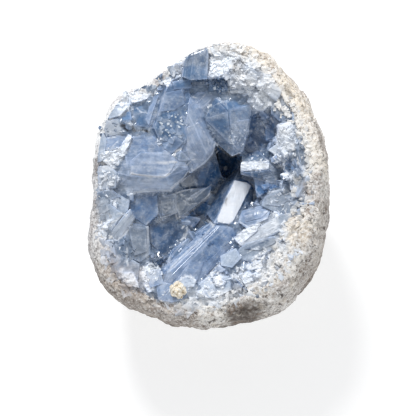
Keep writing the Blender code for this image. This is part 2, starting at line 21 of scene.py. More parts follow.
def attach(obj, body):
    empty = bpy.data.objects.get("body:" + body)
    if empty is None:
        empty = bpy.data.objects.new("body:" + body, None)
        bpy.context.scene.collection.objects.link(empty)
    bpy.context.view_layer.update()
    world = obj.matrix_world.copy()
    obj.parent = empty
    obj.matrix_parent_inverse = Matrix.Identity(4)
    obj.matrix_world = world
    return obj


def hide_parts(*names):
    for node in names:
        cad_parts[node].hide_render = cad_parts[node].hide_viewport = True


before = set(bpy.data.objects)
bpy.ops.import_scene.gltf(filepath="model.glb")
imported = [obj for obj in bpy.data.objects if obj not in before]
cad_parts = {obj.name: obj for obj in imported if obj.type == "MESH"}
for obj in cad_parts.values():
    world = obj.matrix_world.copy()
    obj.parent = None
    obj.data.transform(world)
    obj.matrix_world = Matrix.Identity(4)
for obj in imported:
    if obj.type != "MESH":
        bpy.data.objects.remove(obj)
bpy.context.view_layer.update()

# %% [markdown]
# ## Sizes, and the stone's own frame
#
# A geode is easiest to describe in a frame of its own: x to the right and y up across the
# opening, z out of it, and the origin in the middle of the girdle, the widest ring. One matrix
# then lays the finished stone on its back. The outline of the girdle is a ring of radii with a
# smooth curve through them, which needs far fewer numbers than a traced outline would.

# %% Driving sizes in metres
MM = 0.001
STONE_WIDTH = 56.4 * MM
BACK_DEPTH = 33.0 * MM
RIM_RISE = 9.5 * MM
FLOOR_DEPTH = 24.0 * MM
LEAN = math.radians(22)
STONE_PLACE = Vector((-0.498, 0.109, 31.057)) * MM

VIEW_STEP = STONE_WIDTH / 240          # one step of the drawing of the opening
VIEW_DISTANCE = 300.0 * MM             # the drawing was made from this far in front
VIEW_CENTRE = (208.0, 208.0)
GIRDLE_CENTRE = (208.0, 186.5)
SIGHT_Y = (GIRDLE_CENTRE[1] - VIEW_CENTRE[1]) * VIEW_STEP

GIRDLE_MM = (28.2, 28.7, 29.6, 31.0, 32.7, 34.1, 32.4, 29.6, 28.1, 29.6, 28.8, 27.5,
             26.7, 28.4, 31.7, 33.9, 33.4, 33.1, 33.1, 33.0, 33.8, 32.4, 30.6, 29.1)
SHOULDER_MM = (3.9, 3.6, 1.1, 1.8, 2.0, 3.1, 4.0, 6.4)
RIM_WAVE_MM = (1.2, 0.4, -2.2, -3.8, -2.2, -0.4, 1.2, 2.2)
LIP_MM = (1.4, 1.4, 0.9, 1.0, 1.2, 1.4, 1.4, 1.8)

TO_WORLD = Matrix.Translation(STONE_PLACE) @ Matrix.Rotation(LEAN, 4, "X")


def around(values, angle):
    """A smooth closed curve through values spaced evenly over the full circle."""
    count = len(values)
    place = (angle / math.tau * count) % count
    first = int(place)
    part = place - first
    a, b, c, d = (values[(first + step) % count] for step in (-1, 0, 1, 2))
    bend = 2 * b + (c - a) * part
    bend += (2 * a - 5 * b + 4 * c - d) * part ** 2
    bend += (3 * b - a - 3 * c + d) * part ** 3
    return bend / 2 * MM


def girdle_radius(angle):
    return around(GIRDLE_MM, angle)


def rim_height(angle):
    broken = noise.noise(Vector((3.1 * math.cos(angle), 3.1 * math.sin(angle), 4.0)))
    return RIM_RISE + around(RIM_WAVE_MM, angle) + 0.7 * MM * broken


def lip_outer(angle):
    return girdle_radius(angle) - around(SHOULDER_MM, angle)


def lip_inner(angle):
    broken = noise.noise(Vector((5.3 * math.cos(angle), 5.3 * math.sin(angle), 9.0)))
    return lip_outer(angle) - around(LIP_MM, angle) * (1.0 + 0.35 * broken)


def seen_at(x, y, z_mm):
    """The point that is seen from the front at (x, y) and lies z_mm above the girdle."""
    depth = z_mm * MM
    nearer = VIEW_STEP * (1 - depth / VIEW_DISTANCE)
    return Vector(((x - VIEW_CENTRE[0]) * nearer, (VIEW_CENTRE[1] - y) * nearer + SIGHT_Y, depth))


def front_view(point):
    """Where a point is seen from the front, the other way round from seen_at."""
    nearer = VIEW_STEP * (1 - point.z / VIEW_DISTANCE)
    return Vector((VIEW_CENTRE[0] + point.x / nearer,
                   VIEW_CENTRE[1] - (point.y - SIGHT_Y) / nearer))


print("girdle radius in mm:", round(girdle_radius(0) / MM, 1), "to the right")

# %% [markdown]
# ## Finishes of the crystals
#
# The blue is one mineral, but it looks pale where it is cracked inside, navy where it is clear
# and deep, smoky where clay is caught in it, and white where the surface is broken like sugar.
# The darkest finish is also painted shade, for crystals that lie in shade deep in the hollow, and
# the glossy white finish is a painted highlight. Naming a few finishes and giving each crystal
# one keeps that in a single short list. The worn edges and the drawn marks come later, on top of
# them, and they carry painted highlights and painted shade as well.

# %% Table of finishes
# colour, frost (0 glassy to 1 like sugar), clarity (share of light that goes through)
FINISHES = {
    "pale": ((0.262, 0.363, 0.55), 0.08, 0.22),
    "clear": ((0.118, 0.228, 0.42), 0.05, 0.25),
    # The next finish is dark navy: clear crystal seen deep in the hollow, and painted shade for the
    # crystals that lie in shade.
    "deep_shade": ((0.042, 0.092, 0.185), 0.05, 0.30),
    "smoky": ((0.155, 0.225, 0.34), 0.12, 0.25),
    "milky": ((0.38, 0.46, 0.58), 0.25, 0.15),
    "frosted": ((0.80, 0.84, 0.90), 0.85, 0.03),
    # The next finish is whitish: partly frost, partly a painted glint on tiny facets.
    "glint": ((0.72, 0.80, 0.90), 0.40, 0.08),
    "sliver": ((0.27, 0.38, 0.57), 0.12, 0.22),
    # The next finish is a painted highlight: a glossy near-white face where the light is mirrored.
    "shine": ((0.90, 0.92, 0.96), 0.10, 0.00),
    "chalky": ((0.84, 0.82, 0.79), 0.90, 0.00),
}
print(len(FINISHES), "finishes")

# %% [markdown]
# ## The crystals, drawn as crowns
#
# A celestite crystal in a geode shows its crown, the faces that reach into the hollow, and
# hides its root. So each one is given by the corners of its crown, as seen from the front with
# a height above the girdle, and by a root further down. The convex hull of the two is a closed
# block with flat faces, which is what a crystal is. Sculpting would give soft faces instead.

# %% Corners of the crystals
# finish, root, size of the root for the crown's, corners of the crown. A corner is x and y in
# steps of the drawing, and a height above the girdle in millimetres.
# The crystals with the darkest finish lie in shade deep in the hollow; their dark navy is partly
# painted shade.
LARGE_CRYSTALS = {
    "broad_slab": ("pale", (138,162,-8), 0.8, (131,138,6.4), (139,133,6.1), (151,133,6.1),
        (161,141,6.2), (183,160,6.3), (189,168,6), (178,166,7.6), (166,177,8.3), (129,176,8.5),
        (187,175,4.6), (176,184,4.6), (171,191,4.8), (146,192,5.4), (127,194,5.3), (117,187,5.8),
        (116,172,6.9), (125,150,6.9)),
    "upper_left_prism": ("clear", (166,112,-7), 0.8, (168,84,6.6), (188,86,6), (193,104,6.2),
        (187,140,7.4), (178,158,6.6), (160,142,6.9), (154,128,7.4), (161,105,7.2), (163,87,5.2),
        (149,128,5.6), (151,134,5.4)),
    "round_tip_prism": ("pale", (184,122,-7), 0.7, (190,97,6.4), (201,107,6), (204,118,6),
        (216,143,4.4), (213,154,3.9), (205,164,3.9), (190,174,4.5), (180,160,6.2), (184,135,7.3),
        (188,112,7.4), (200,140,7), (207,154,5.6)),
    "hanging_crystal": ("clear", (230,104,-5), 0.62, (204,118,5), (208,106,5.4), (215,98,5.5),
        (226,95,5.6), (242,99,5.8), (251,105,5.8), (252,114,5.4), (248,135,4.4), (243,152,3.4),
        (232,157,3), (217,144,3.7), (229,110,7), (234,145,5.2)),
    "top_block": ("clear", (196,74,-4), 0.8, (183,58,6.2), (190,53,5.4), (200,50,5), (208,53,5.6),
        (207,79,8.2), (190,80,8.4), (181,77,7.6)),
    "dark_back_face": ("deep_shade", (266,124,-10), 0.8, (252,118,3), (276,117,4.4), (274,131,3.6),
        (262,150,0.2), (247,153,-1), (250,132,1)),
    "frosted_block": ("frosted", (287,134,-3), 0.9, (277,124,8.8), (291,122,9.6), (296,136,9.8),
        (296,147,9.4), (286,151,8.4), (277,140,8)),
    "right_wedge": ("smoky", (282,168,-5), 0.6, (240,163,3.2), (246,154,1.6), (257,149,1.2),
        (269,156,2), (269,161,4.4), (268,169,4.4), (240,171,3.8), (240,175,2.2), (262,180,1.8),
        (277,184,1.8), (284,178,3.4)),
    "bright_prism": ("clear", (236,214,-12), 0.7, (234,180,-0.8), (251,185,-1.2), (231,224,3.2),
        (214,224,3.2), (206,213,-1), (222,182,-5), (240,167,-6), (263,197,-4), (256,207,-2)),
    "dark_left_wall": ("deep_shade", (186,176,-12), 0.8, (172,189,1), (190,174,0), (215,150,-2.4),
        (222,176,-5), (214,193,-5), (203,190,-2), (190,198,-1)),
    "pale_edged_blade": ("smoky", (182,204,-9), 0.7, (175,190,2), (190,197,1.6), (205,188,0.4),
        (212,186,-0.6), (210,195,-0.6), (179,219,1.8), (174,206,2.4)),
    "grey_block": ("deep_shade", (163,236,-8), 0.8, (149,226,3.4), (175,216,1.8), (188,226,0.2),
        (182,243,1.2), (167,259,3.4), (150,243,4)),
    "long_prism": ("pale", (198,262,-8), 0.75, (163,269,7.2), (212,223,1.8), (168,273,8.6),
        (218,226,3.6), (232,228,3.4), (241,232,2.8), (238,242,3.4), (205,276,7.6), (195,287,8.6),
        (173,291,9.2), (163,284,8.6)),
    "thin_blade": ("clear", (186,248,-9), 0.8, (166,262,5.2), (171,251,4.2), (190,238,2.2),
        (203,226,0.6), (212,222,1), (168,271,6.2)),
    "low_dark_crystal": ("deep_shade", (200,230,-12), 0.9, (187,221,-1.4), (205,213,-2.4), (212,222,-1.6),
        (200,238,0.4), (189,235,-0.4)),
    "lower_left_facet": ("clear", (142,210,-6), 0.8, (130,200,5), (157,195,4.2), (159,214,4.2),
        (146,226,4.8), (131,216,5.6)),
    "ringed_crystal": ("smoky", (168,206,-7), 0.8, (158,197,3.6), (176,193,2.6), (178,213,2.6),
        (160,219,3.8)),
    "left_parallelogram": ("milky", (124,226,-3), 0.8, (104,239,7.6), (130,209,7), (135,217,6.2),
        (119,242,7)),
    "left_grey_prism": ("smoky", (138,242,-5), 0.8, (128,222,6.2), (149,226,5), (151,254,5.4),
        (140,263,6.4), (125,256,7.2)),
    "right_pale_block": ("milky", (284,204,-4), 0.8, (262,200,4.2), (268,191,4.4), (284,188,6),
        (300,197,8.8), (296,212,9.2), (278,214,7.2), (261,206,5)),
    "streaked_crystal": ("pale", (262,224,-7), 0.8, (237,222,3.6), (241,210,2.6), (258,205,3.8),
        (272,208,5.6), (268,219,6.6), (246,229,5.8)),
    "slanted_prism": ("milky", (270,230,-4), 0.8, (240,240,5.6), (262,226,7.2), (280,214,8.6),
        (297,213,9.8), (291,226,10), (262,241,8.8), (243,251,7.4)),
    "lower_right_prism": ("milky", (262,250,-3), 0.8, (238,250,7), (246,243,7.8), (273,236,9.6),
        (283,240,10.2), (264,256,9.8), (250,263,9), (240,259,7.8)),
}

SMALL_CRYSTALS = {
    "upper_left_chip": ("clear", (130,120,-3), 0.9, (121,118,6.2), (130,109,6), (132,120,6.8),
        (124,126,6.6)),
    "upper_left_stub": ("clear", (146,116,-4), 0.8, (132,109,6), (137,101,5.6), (153,100,5.6),
        (161,104,5.8), (155,119,6.6), (149,128,6.4), (137,126,6.4)),
    "left_rim_block": ("pale", (120,142,-2), 0.8, (104,138,7), (128,132,6.2), (131,142,6.4),
        (121,149,7), (106,151,7.6)),
    "left_frosted_block": ("frosted", (116,157,-2), 0.8, (104,152,7.6), (123,150,7), (118,164,7.4),
        (106,164,7.8)),
    "left_upper_block": ("milky", (118,128,-2), 0.8, (103,124,6.4), (118,117,6.2), (124,128,6.6),
        (128,133,6.4), (106,137,7)),
    "top_left_facet": ("milky", (180,76,-3), 0.8, (171,68,5.2), (182,60,5.2), (181,77,6.8),
        (171,81,6.4)),
    "top_frosted_block": ("frosted", (224,72,-3), 0.8, (208,53,6), (238,48,6.4), (241,53,7.6),
        (231,68,8.4), (226,77,8.6), (208,79,8.4)),
    "notched_block": ("milky", (244,84,-3), 0.8, (228,76,8.2), (240,66,9), (252,66,9.4),
        (258,72,9.6), (258,84,9), (250,93,7.6), (230,93,6.6)),
    "pale_chip": ("milky", (264,102,-3), 0.9, (252,94,6.8), (262,92,7.8), (272,103,7.6),
        (263,112,6.4), (253,110,6)),
    "upper_right_block": ("milky", (272,92,-2), 0.8, (259,84,9), (274,80,9.8), (282,92,9.8),
        (277,102,8.8), (263,91,8.6)),
    "centre_ledge": ("clear", (208,94,-6), 0.9, (189,90,4.8), (208,88,4.6), (228,88,5),
        (226,98,5.4), (205,108,5.2), (192,104,5.4)),
    "dark_chip": ("deep_shade", (280,106,-3), 0.9, (271,104,6.6), (282,98,7.4), (284,110,7.6),
        (276,116,6.6)),
    "right_grey_block": ("smoky", (298,136,0), 0.8, (293,126,9.4), (303,123,9.6), (307,136,10),
        (300,147,9.8)),
    "right_round_block": ("smoky", (298,160,-1), 0.8, (291,152,8.6), (303,149,9.4), (310,157,10),
        (309,167,10.2), (300,172,9.8), (292,164,8.6)),
    "right_sparkling_block": ("glint", (282,150,-3), 0.9, (268,150,5.8), (279,142,7.4), (287,151,8),
        (288,159,7.8), (280,159,6.8)),
    "right_stub": ("clear", (291,170,-2), 0.9, (283,161,6.4), (293,163,8.2), (298,171,9.2),
        (291,179,8.6), (284,173,6.8)),
    "left_low_block": ("milky", (120,208,-2), 0.8, (100,202,7.6), (118,194,6.6), (130,200,6.2),
        (128,211,6.8), (108,228,7.8)),
    "left_dark_stub": ("smoky", (124,244,-2), 0.8, (117,241,6.8), (128,224,6.4), (127,256,7),
        (119,262,8), (110,250,8)),
    "white_block": ("frosted", (152,272,-2), 0.8, (139,278,8.8), (143,267,8.4), (151,262,8),
        (160,268,8.2), (157,279,9.2), (148,283,9.6)),
    "white_stub": ("frosted", (152,282,0), 0.9, (143,283,9.4), (154,281,9.4), (155,290,9.8),
        (148,293,9.9)),
    "lower_left_chunk": ("pale", (172,288,0), 0.9, (156,281,9.2), (170,284,9.6), (188,287,10.2),
        (187,298,10.9), (172,303,11), (158,300,10.6)),
    "lower_chunk": ("milky", (212,280,-1), 0.8, (190,289,8.8), (209,276,8.6), (229,276,9.2),
        (232,290,10.2), (215,298,10.6), (195,299,10.4)),
    "white_chip": ("frosted", (219,276,1), 0.9, (213,277,9.6), (222,274,9.4), (225,284,10.4),
        (216,287,10.4)),
    "round_frosted_block": ("frosted", (246,272,0), 0.9, (239,273,9.6), (250,270,10),
        (254,280,10.8), (245,287,10.8)),
    "ring_block": ("glint", (188,278,0), 0.9, (178,280,9.6), (187,275,9.4), (197,280,9.8),
        (194,287,10.2), (183,288,10.4)),
    "right_low_chip": ("frosted", (288,226,0), 0.8, (281,228,9.8), (298,216,10.2), (303,229,10.8),
        (286,238,10.6)),
    "lower_right_chip": ("frosted", (256,260,0), 0.8, (243,265,9.2), (267,258,10.2), (263,268,10.6),
        (248,271,10.2)),
}

# Crystals between the drawn ones, too small to be in the solid model
FILL_CRYSTALS = {
    "upper_left_mass": ("milky", (120,110,-2), 0.9, (104,120,6.2), (112,106,5.6), (125,94,4.8),
        (131,96,5.4), (131,104,6.4), (120,116,6.8)),
    "upper_left_white": ("frosted", (140,98,-2), 0.9, (131,104,6.4), (131,94,5.4), (146,86,5.2),
        (151,92,6), (148,99,6.4), (137,101,6.4)),
    "upper_left_blue": ("clear", (162,88,-2), 0.9, (156,80,5.2), (163,78,5.2), (163,90,6.2),
        (157,91,6.2)),
    "small_white_wedge": ("frosted", (170,84,-2), 0.9, (163,84,6.4), (170,76,5.8), (174,78,6.4),
        (168,88,6.8)),
    "upper_left_blade": ("pale", (152,110,-3), 0.9, (149,126,6.8), (152,112,6.6), (160,92,6),
        (157,90,5.6), (150,104,6), (145,120,6.6)),
    "round_pit_crystal": ("smoky", (130,126,0), 0.9, (124,122,6.6), (131,121,6.8), (134,128,6.9),
        (127,131,6.8)),
    "left_white_seam": ("frosted", (126,146,0), 0.9, (118,150,7.4), (128,134,6.8), (133,137,7.2),
        (126,151,7.8), (121,158,7.8)),
    "left_mass": ("milky", (110,178,-1), 0.8, (97,166,7.4), (108,165,7.6), (117,172,7.6),
        (116,188,7.6), (99,190,7.6)),
    "left_dark_wedge": ("smoky", (108,196,-1), 0.8, (97,192,7.8), (112,189,7.6), (121,197,7),
        (104,202,8), (96,206,7.8)),
    "right_upper_mass": ("smoky", (280,110,-2), 0.8, (271,96,8), (283,97,9), (291,104,9.4),
        (290,120,9.2), (279,121,8.4), (271,114,7.6)),
    "right_upper_outer": ("milky", (294,116,0), 0.8, (291,103,9.4), (300,112,9.8), (306,122,10),
        (293,123,9.6)),
    "right_outer_mass": ("smoky", (300,138,0), 0.8, (303,123,9.8), (311,136,10.2), (309,150,10.2),
        (300,147,10.2)),
    "right_middle_chunk": ("frosted", (296,186,0), 0.8, (290,178,9), (300,176,9.6), (310,186,10),
        (304,198,9.6), (290,190,8)),
    "right_back_chunk": ("smoky", (284,184,-3), 0.8, (276,180,4.6), (290,180,7), (288,190,6.4),
        (276,188,4)),
    "right_low_mass": ("milky", (300,218,0), 0.8, (294,212,9.6), (301,207,10), (304,220,10.4),
        (298,230,10.4)),
    "white_between": ("frosted", (246,236,-1), 0.8, (233,238,5.4), (244,229,6), (262,222,7.6),
        (256,232,7.6), (240,246,6.6)),
    "low_right_white": ("frosted", (272,258,2), 0.8, (262,262,10.2), (276,250,10.4), (290,240,10.8),
        (292,252,11), (276,268,11), (262,272,10.8)),
    "low_right_chalk": ("frosted", (260,272,2), 0.8, (255,272,10.6), (268,268,10.8), (270,280,11.2),
        (258,286,11.2)),
    "low_middle_facet": ("milky", (230,258,0), 0.8, (220,256,7.4), (236,248,7.4), (242,258,8.2),
        (232,268,8.6), (221,266,8.2)),
    "low_slanted_facet": ("pale", (217,270,1), 0.8, (209,277,8.8), (219,264,8), (226,270,8.8),
        (215,276,9.2)),
    "lower_left_grey": ("smoky", (130,266,0), 0.8, (112,262,8.4), (126,256,8), (140,264,8.2),
        (138,280,9.6), (118,280,9.6)),
    "lower_left_edge": ("milky", (112,248,0), 0.8, (104,240,8.2), (114,240,8), (116,258,8.4),
        (106,256,8.6)),
    "left_edge_white": ("frosted", (106,232,0), 0.8, (98,222,8.2), (106,230,8), (106,242,8.2),
        (98,238,8.4)),
    "dark_hole_crystal": ("deep_shade", (158,256,-2), 0.8, (150,256,5.4), (158,250,4.6), (166,258,5.4),
        (158,266,6.4)),
    "upper_middle_chips": ("clear", (218,86,-2), 0.8, (208,80,6.4), (224,80,7), (228,90,7),
        (210,90,6)),
    "under_top_block": ("clear", (182,86,-2), 0.8, (172,82,6.8), (190,78,7), (192,88,7),
        (174,90,6.8)),
    "left_blue_mass": ("milky", (108,216,0), 0.8, (94,200,7.8), (110,204,8), (123,214,7.4),
        (110,233,7.8), (97,226,8)),
    "left_low_mass": ("smoky", (114,252,0), 0.8, (101,243,8.2), (124,243,7.2), (127,262,8),
        (110,264,8.8)),
    "left_upper_face": ("milky", (104,150,0), 0.8, (94,148,7.6), (103,132,7), (107,140,7.4),
        (104,160,8), (95,164,7.8)),
    "low_blue_facet": ("pale", (154,276,2), 0.8, (146,272,9.2), (160,268,8.4), (164,284,9.6),
        (150,288,10.2)),
    "low_left_corner": ("frosted", (130,276,2), 0.8, (118,272,9.2), (134,272,9.2), (140,288,10.4),
        (126,286,10)),
    "top_rim_white": ("frosted", (250,66,0), 0.8, (240,52,7.6), (252,56,8.6), (262,66,9.4),
        (254,70,9.4), (243,64,8.4)),
    "upper_middle_face": ("pale", (200,106,-3), 0.8, (190,97,6), (197,92,5.8), (209,91,5.7),
        (214,97,5.5), (207,105,5.6), (204,117,5.2), (198,112,6.2), (190,108,6.6)),
    "top_rim_chalk": ("frosted", (268,82,0), 0.8, (262,72,9.6), (274,76,9.8), (276,84,9.8),
        (264,84,9.6)),
}
# Growth lines: which way they run in the drawing, in degrees from level, how many and how deep
LINES_OF = {
    "broad_slab": (3, 12, 0.10), "upper_left_prism": (112, 9, 0.07),
    "round_tip_prism": (-62, 8, 0.06), "hanging_crystal": (-50, 7, 0.05),
    "top_block": (82, 10, 0.10), "long_prism": (44, 8, 0.06), "thin_blade": (40, 6, 0.05),
    "streaked_crystal": (12, 9, 0.10), "slanted_prism": (30, 8, 0.08),
    "lower_right_prism": (25, 9, 0.08), "right_wedge": (8, 7, 0.07),
    "left_parallelogram": (48, 7, 0.07), "left_grey_prism": (85, 7, 0.07),
    "notched_block": (4, 9, 0.16), "bright_prism": (60, 4, 0.03),
    "upper_middle_face": (38, 8, 0.06),
    "pale_edged_blade": (38, 6, 0.08), "right_pale_block": (-20, 6, 0.08),
}
print(len(LARGE_CRYSTALS) + len(SMALL_CRYSTALS) + len(FILL_CRYSTALS), "crystals are drawn")

# %% [markdown]
# ## From corners to crystals
#
# The hull gives razor edges, and real edges are worn and catch the light as thin bright lines,
# so each block gets a narrow bevel. Growth lines are real steps: thin slices are cut across the
# block and every slice is pushed out or in by a few hundredths of a millimetre.

# %% Blocks, bevels and growth lines
EDGE_WEAR = 0.15 * MM
RISER = 0.035 * MM
SHARP = math.radians(16)


def hull(points):
    """The closed convex block round a few points."""
    mesh = bmesh.new()
    for point in points:
        mesh.verts.new(point)
    made = bmesh.ops.convex_hull(mesh, input=mesh.verts)
    spare = [part for part in made["geom_interior"] if isinstance(part, bmesh.types.BMVert)]
    bmesh.ops.delete(mesh, geom=spare, context="VERTS")
    bmesh.ops.dissolve_limit(mesh, angle_limit=math.radians(1), verts=mesh.verts,
                             edges=mesh.edges)
    bmesh.ops.recalc_face_normals(mesh, faces=mesh.faces)
    return mesh


def wear_edges(mesh, width):
    """A narrow bevel on the sharp edges, whose faces are remembered as worn."""
    worn = mesh.faces.layers.int.new("worn")
    sharp = [edge for edge in mesh.edges if edge.calc_face_angle(0) > SHARP]
    made = bmesh.ops.bevel(mesh, geom=sharp, offset=width, offset_type="OFFSET", segments=1,
                           affect="EDGES", clamp_overlap=True)
    for face in made["faces"]:
        face[worn] = 1


def cut_across(mesh, place, normal):
    bmesh.ops.bisect_plane(mesh, geom=mesh.verts[:] + mesh.edges[:] + mesh.faces[:],
                           plane_co=place, plane_no=normal)


def growth_lines(mesh, across, count, depth, dice):
    """Cuts the block into slices across a direction and steps them out and in."""
    reach = [vertex.co.dot(across) for vertex in mesh.verts]
    low, high = min(reach), max(reach)
    side = across.orthogonal()
    cuts = []
    for number in range(count):
        share = (number + dice.uniform(0.1, 0.9)) / count
        turn = Matrix.Rotation(math.radians(dice.uniform(-4, 4)), 3, side)
        normal = turn @ across
        place = across * (low + (high - low) * share)
        middle = sum((vertex.co for vertex in mesh.verts), Vector()) / len(mesh.verts)
        place += middle - across * middle.dot(across)
        cut_across(mesh, place - normal * RISER, normal)
        cut_across(mesh, place + normal * RISER, normal)
        cuts.append((place, normal, dice.uniform(-1, 1) * depth * MM))
    mesh.normal_update()
    moves = []
    for vertex in mesh.verts:
        level = sum(step for place, normal, step in cuts if (vertex.co - place).dot(normal) > 0)
        moves.append(vertex.normal * max(-2 * depth * MM, min(2 * depth * MM, level)))
    for vertex, move in zip(mesh.verts, moves):
        vertex.co += move


def drawn_crystal(name, root, root_size, corners):
    """One named crystal with its edges worn and its growth lines cut."""
    crown = [seen_at(*corner) for corner in corners]
    middle = sum(crown, Vector()) / len(crown)
    foot = seen_at(*root)
    base = [foot + Vector(((point - middle).x, (point - middle).y, 0)) * root_size
            for point in crown]
    mesh = hull(crown + base)
    dice = random.Random(name)
    wear_edges(mesh, EDGE_WEAR)
    if name in LINES_OF:
        angle, count, depth = LINES_OF[name]
        run = math.radians(angle)
        growth_lines(mesh, Vector((-math.sin(run), math.cos(run), 0.0)), count, depth, dice)
    return mesh


pieces = []          # every block of the crust as (mesh, finish, direction of its lines)
DRAWN_CRYSTALS = {**LARGE_CRYSTALS, **SMALL_CRYSTALS, **FILL_CRYSTALS}
for name, (finish, root, root_size, *corners) in DRAWN_CRYSTALS.items():
    angle = math.radians(LINES_OF.get(name, (len(name) * 37 % 180, 0, 0))[0])
    pieces.append((drawn_crystal(name, root, root_size, corners), finish,
                   Vector((-math.sin(angle), math.cos(angle), 0.0))))
print("drawn crystals have", sum(len(mesh.faces) for mesh, *rest in pieces), "faces")

# %% [markdown]
# ## Plates on the faces
#
# Celestite splits in flat sheets, so a crystal's face often carries a thin plate with straight
# edges: a terrace with bright steps, a mirror-like patch, a facet turned a little. Each plate is
# drawn as an outline, found on the crystals by rays from the front, and made a thin block there.

# %% Outlines of the plates
# Outline of the front face of the bright prism, which carries a painted reflection: a glossy
# near-white plate and a whitish tone.
BRIGHT_FACE = ((234.5,180.5), (241,182.5), (247,183), (250.5,186), (248,192), (240,208),
               (233,221), (229,224), (218,222.5), (217,219), (226,199))
# finish, how far it stands out in millimetres, corners of the outline
PLATES = (
    # A painted highlight: a glossy near-white plate on the front face of the bright prism.
    ("shine", 0.22, *BRIGHT_FACE),
    ("pale", 0.28, (130,161), (141,152), (168,153), (177,161.5), (170,173), (165,177), (150,176.4),
     (131,174)),
    ("pale", 0.14, (133,167), (150,163.5), (176,162), (170,170), (140,171.5)),
    # A frosted plate whose white is partly a painted highlight.
    ("frosted", 0.3, (241,161), (262,162), (270,163), (269,168.5), (255,170.5), (242,171)),
    ("smoky", 0.2, (174,156), (181,150), (190,160), (187,165), (178,161)),
    ("clear", 0.18, (217,229), (238,233), (231,241), (206,262), (203,250)),
    ("clear", 0.22, (205,119), (210,108), (219,102), (228,112), (231,144), (217,142)),
    ("pale", 0.15, (236,121), (249,119), (246,137), (242,150), (235,151)),
    ("clear", 0.25, (165,93), (183,89), (185,104), (175,110), (161,112)),
    ("pale", 0.25, (187,127), (199,122), (210,141), (204,160), (193,166), (186,151)),
    ("milky", 0.5, (230,90), (245,89.5), (246,95), (231,95)),
    ("milky", 0.4, (238,76), (250,78), (248,86), (236,85)),
    ("clear", 0.2, (160,142), (175,136), (184,142), (172,154), (164,149)),
    ("milky", 0.25, (266,196), (282,191), (292,198), (280,207), (266,205)),
    ("smoky", 0.2, (160,200), (174,198), (175,212), (162,216)),
    ("pale", 0.2, (243,214), (258,208), (269,211), (262,218), (246,222)),
    ("milky", 0.25, (244,249), (262,241), (274,237), (276,243), (260,251)),
    ("smoky", 0.25, (128,226), (146,228), (147,252), (134,256)),
    ("milky", 0.2, (108,230), (124,215), (131,216), (118,238)),
    ("frosted", 0.25, (278,126), (290,124), (294,138), (284,144), (278,138)),
    ("smoky", 0.2, (296,154), (304,153), (307,162), (299,168)),
    ("clear", 0.25, (243,172), (256,171), (269,169.5), (274,176), (258,178)),
    ("pale", 0.2, (172,284), (190,262), (204,262), (198,280), (180,290)),
)
OFF_PLANE = 1.0 * MM


def surface_of(meshes):
    """Several meshes as one search tree, for rays from the front."""
    corners, faces = [], []
    for mesh in meshes:
        start = len(corners)
        mesh.verts.index_update()
        corners.extend(vertex.co.copy() for vertex in mesh.verts)
        faces.extend([start + vertex.index for vertex in face.verts] for face in mesh.faces)
    return BVHTree.FromPolygons(corners, faces)


EYE = Vector((0.0, SIGHT_Y, VIEW_DISTANCE))


def look_at(surface, x, y):
    """The first point and normal that a ray through a drawing place meets."""
    return surface.ray_cast(EYE, seen_at(x, y, 5.0) - EYE)[:2]


def plate(surface, thickness, corners):
    hits = [look_at(surface, *corner) for corner in corners]
    hits = [(spot, normal) for spot, normal in hits if spot is not None]
    if len(hits) < 3:
        return None
    middle = sum((spot for spot, normal in hits), Vector()) / len(hits)
    up = sum((normal for spot, normal in hits), Vector()).normalized()
    points = []
    for spot, normal in hits:
        away = (spot - middle).dot(up)
        if abs(away) < OFF_PLANE:
            points += [spot + up * thickness * MM, spot - up * (thickness + 0.4) * MM]
    if len(points) < 6:
        return None
    mesh = hull(points)
    wear_edges(mesh, 0.5 * thickness * MM)
    return mesh


def lay_plates():
    surface = surface_of([piece[0] for piece in pieces])
    for finish, thickness, *corners in PLATES:
        mesh = plate(surface, thickness, corners)
        if mesh:
            pieces.append((mesh, finish, Vector((0.2, 1.0, 0.0)).normalized()))


lay_plates()
print(len(pieces), "blocks with the plates")

# %% [markdown]
# ## The crystal layer, and the crystals that nobody drew
#
# Between the large crystals the whole wall of the hollow is covered by smaller ones. They stand
# on a common layer that falls from the rim to the void, a cone with a moved tip, and lean over
# the void. Seeded random numbers place them, because no single one of them matters.

# %% The common layer and its short crystals
SEGMENTS = 60
HOLLOW_RINGS = 8
RIM_PIECES = 34
RIM_LEVEL_MM = (-1.6, 0.3)
SLOPE_PIECES = 44
SLOPE_RINGS = 6
SLOPE_POWER = 1.15
DUCK = 3.5 * MM
RIM_SINK = 2.4 * MM
RIM_INSET = 1.6 * MM
VOID_PLACE = (226, 168, -13)
SMALL_FILL = 170


def ring(radius, height, count=SEGMENTS):
    """Corners of one ring, whose radius and height are functions of the angle."""
    angles = [math.tau * step / count for step in range(count)]
    return [Vector((radius(a) * math.cos(a), radius(a) * math.sin(a), height(a))) for a in angles]


def hollow_rings(inset, floor):
    """A bowl inside the lip, from the rim to near its floor, inset all round."""
    rings = []
    for step in range(HOLLOW_RINGS):
        turn = math.pi / 2 * step / HOLLOW_RINGS

        def radius(angle, turn=turn):
            return (lip_inner(angle) - inset) * math.cos(turn) ** 0.85

        def height(angle, turn=turn):
            rim = rim_height(angle)
            return rim - (rim + floor) * math.sin(turn) ** 0.95

        rings.append(ring(radius, height))
    return rings


def skin(rings, first_pole=None, last_pole=None):
    """Closed mesh over rings of equal length, with its faces pointing out."""
    mesh = bmesh.new()
    rows = [[mesh.verts.new(corner) for corner in corners] for corners in rings]
    for upper, lower in zip(rows, rows[1:]):
        for step in range(len(upper)):
            after = (step + 1) % len(upper)
            mesh.faces.new((upper[step], lower[step], lower[after], upper[after]))
    for pole, row in ((first_pole, rows[0]), (last_pole, rows[-1])):
        if pole is not None:
            tip = mesh.verts.new(pole)
            for step in range(len(row)):
                mesh.faces.new((tip, row[step], row[(step + 1) % len(row)]))
    bmesh.ops.recalc_face_normals(mesh, faces=mesh.faces)
    return mesh


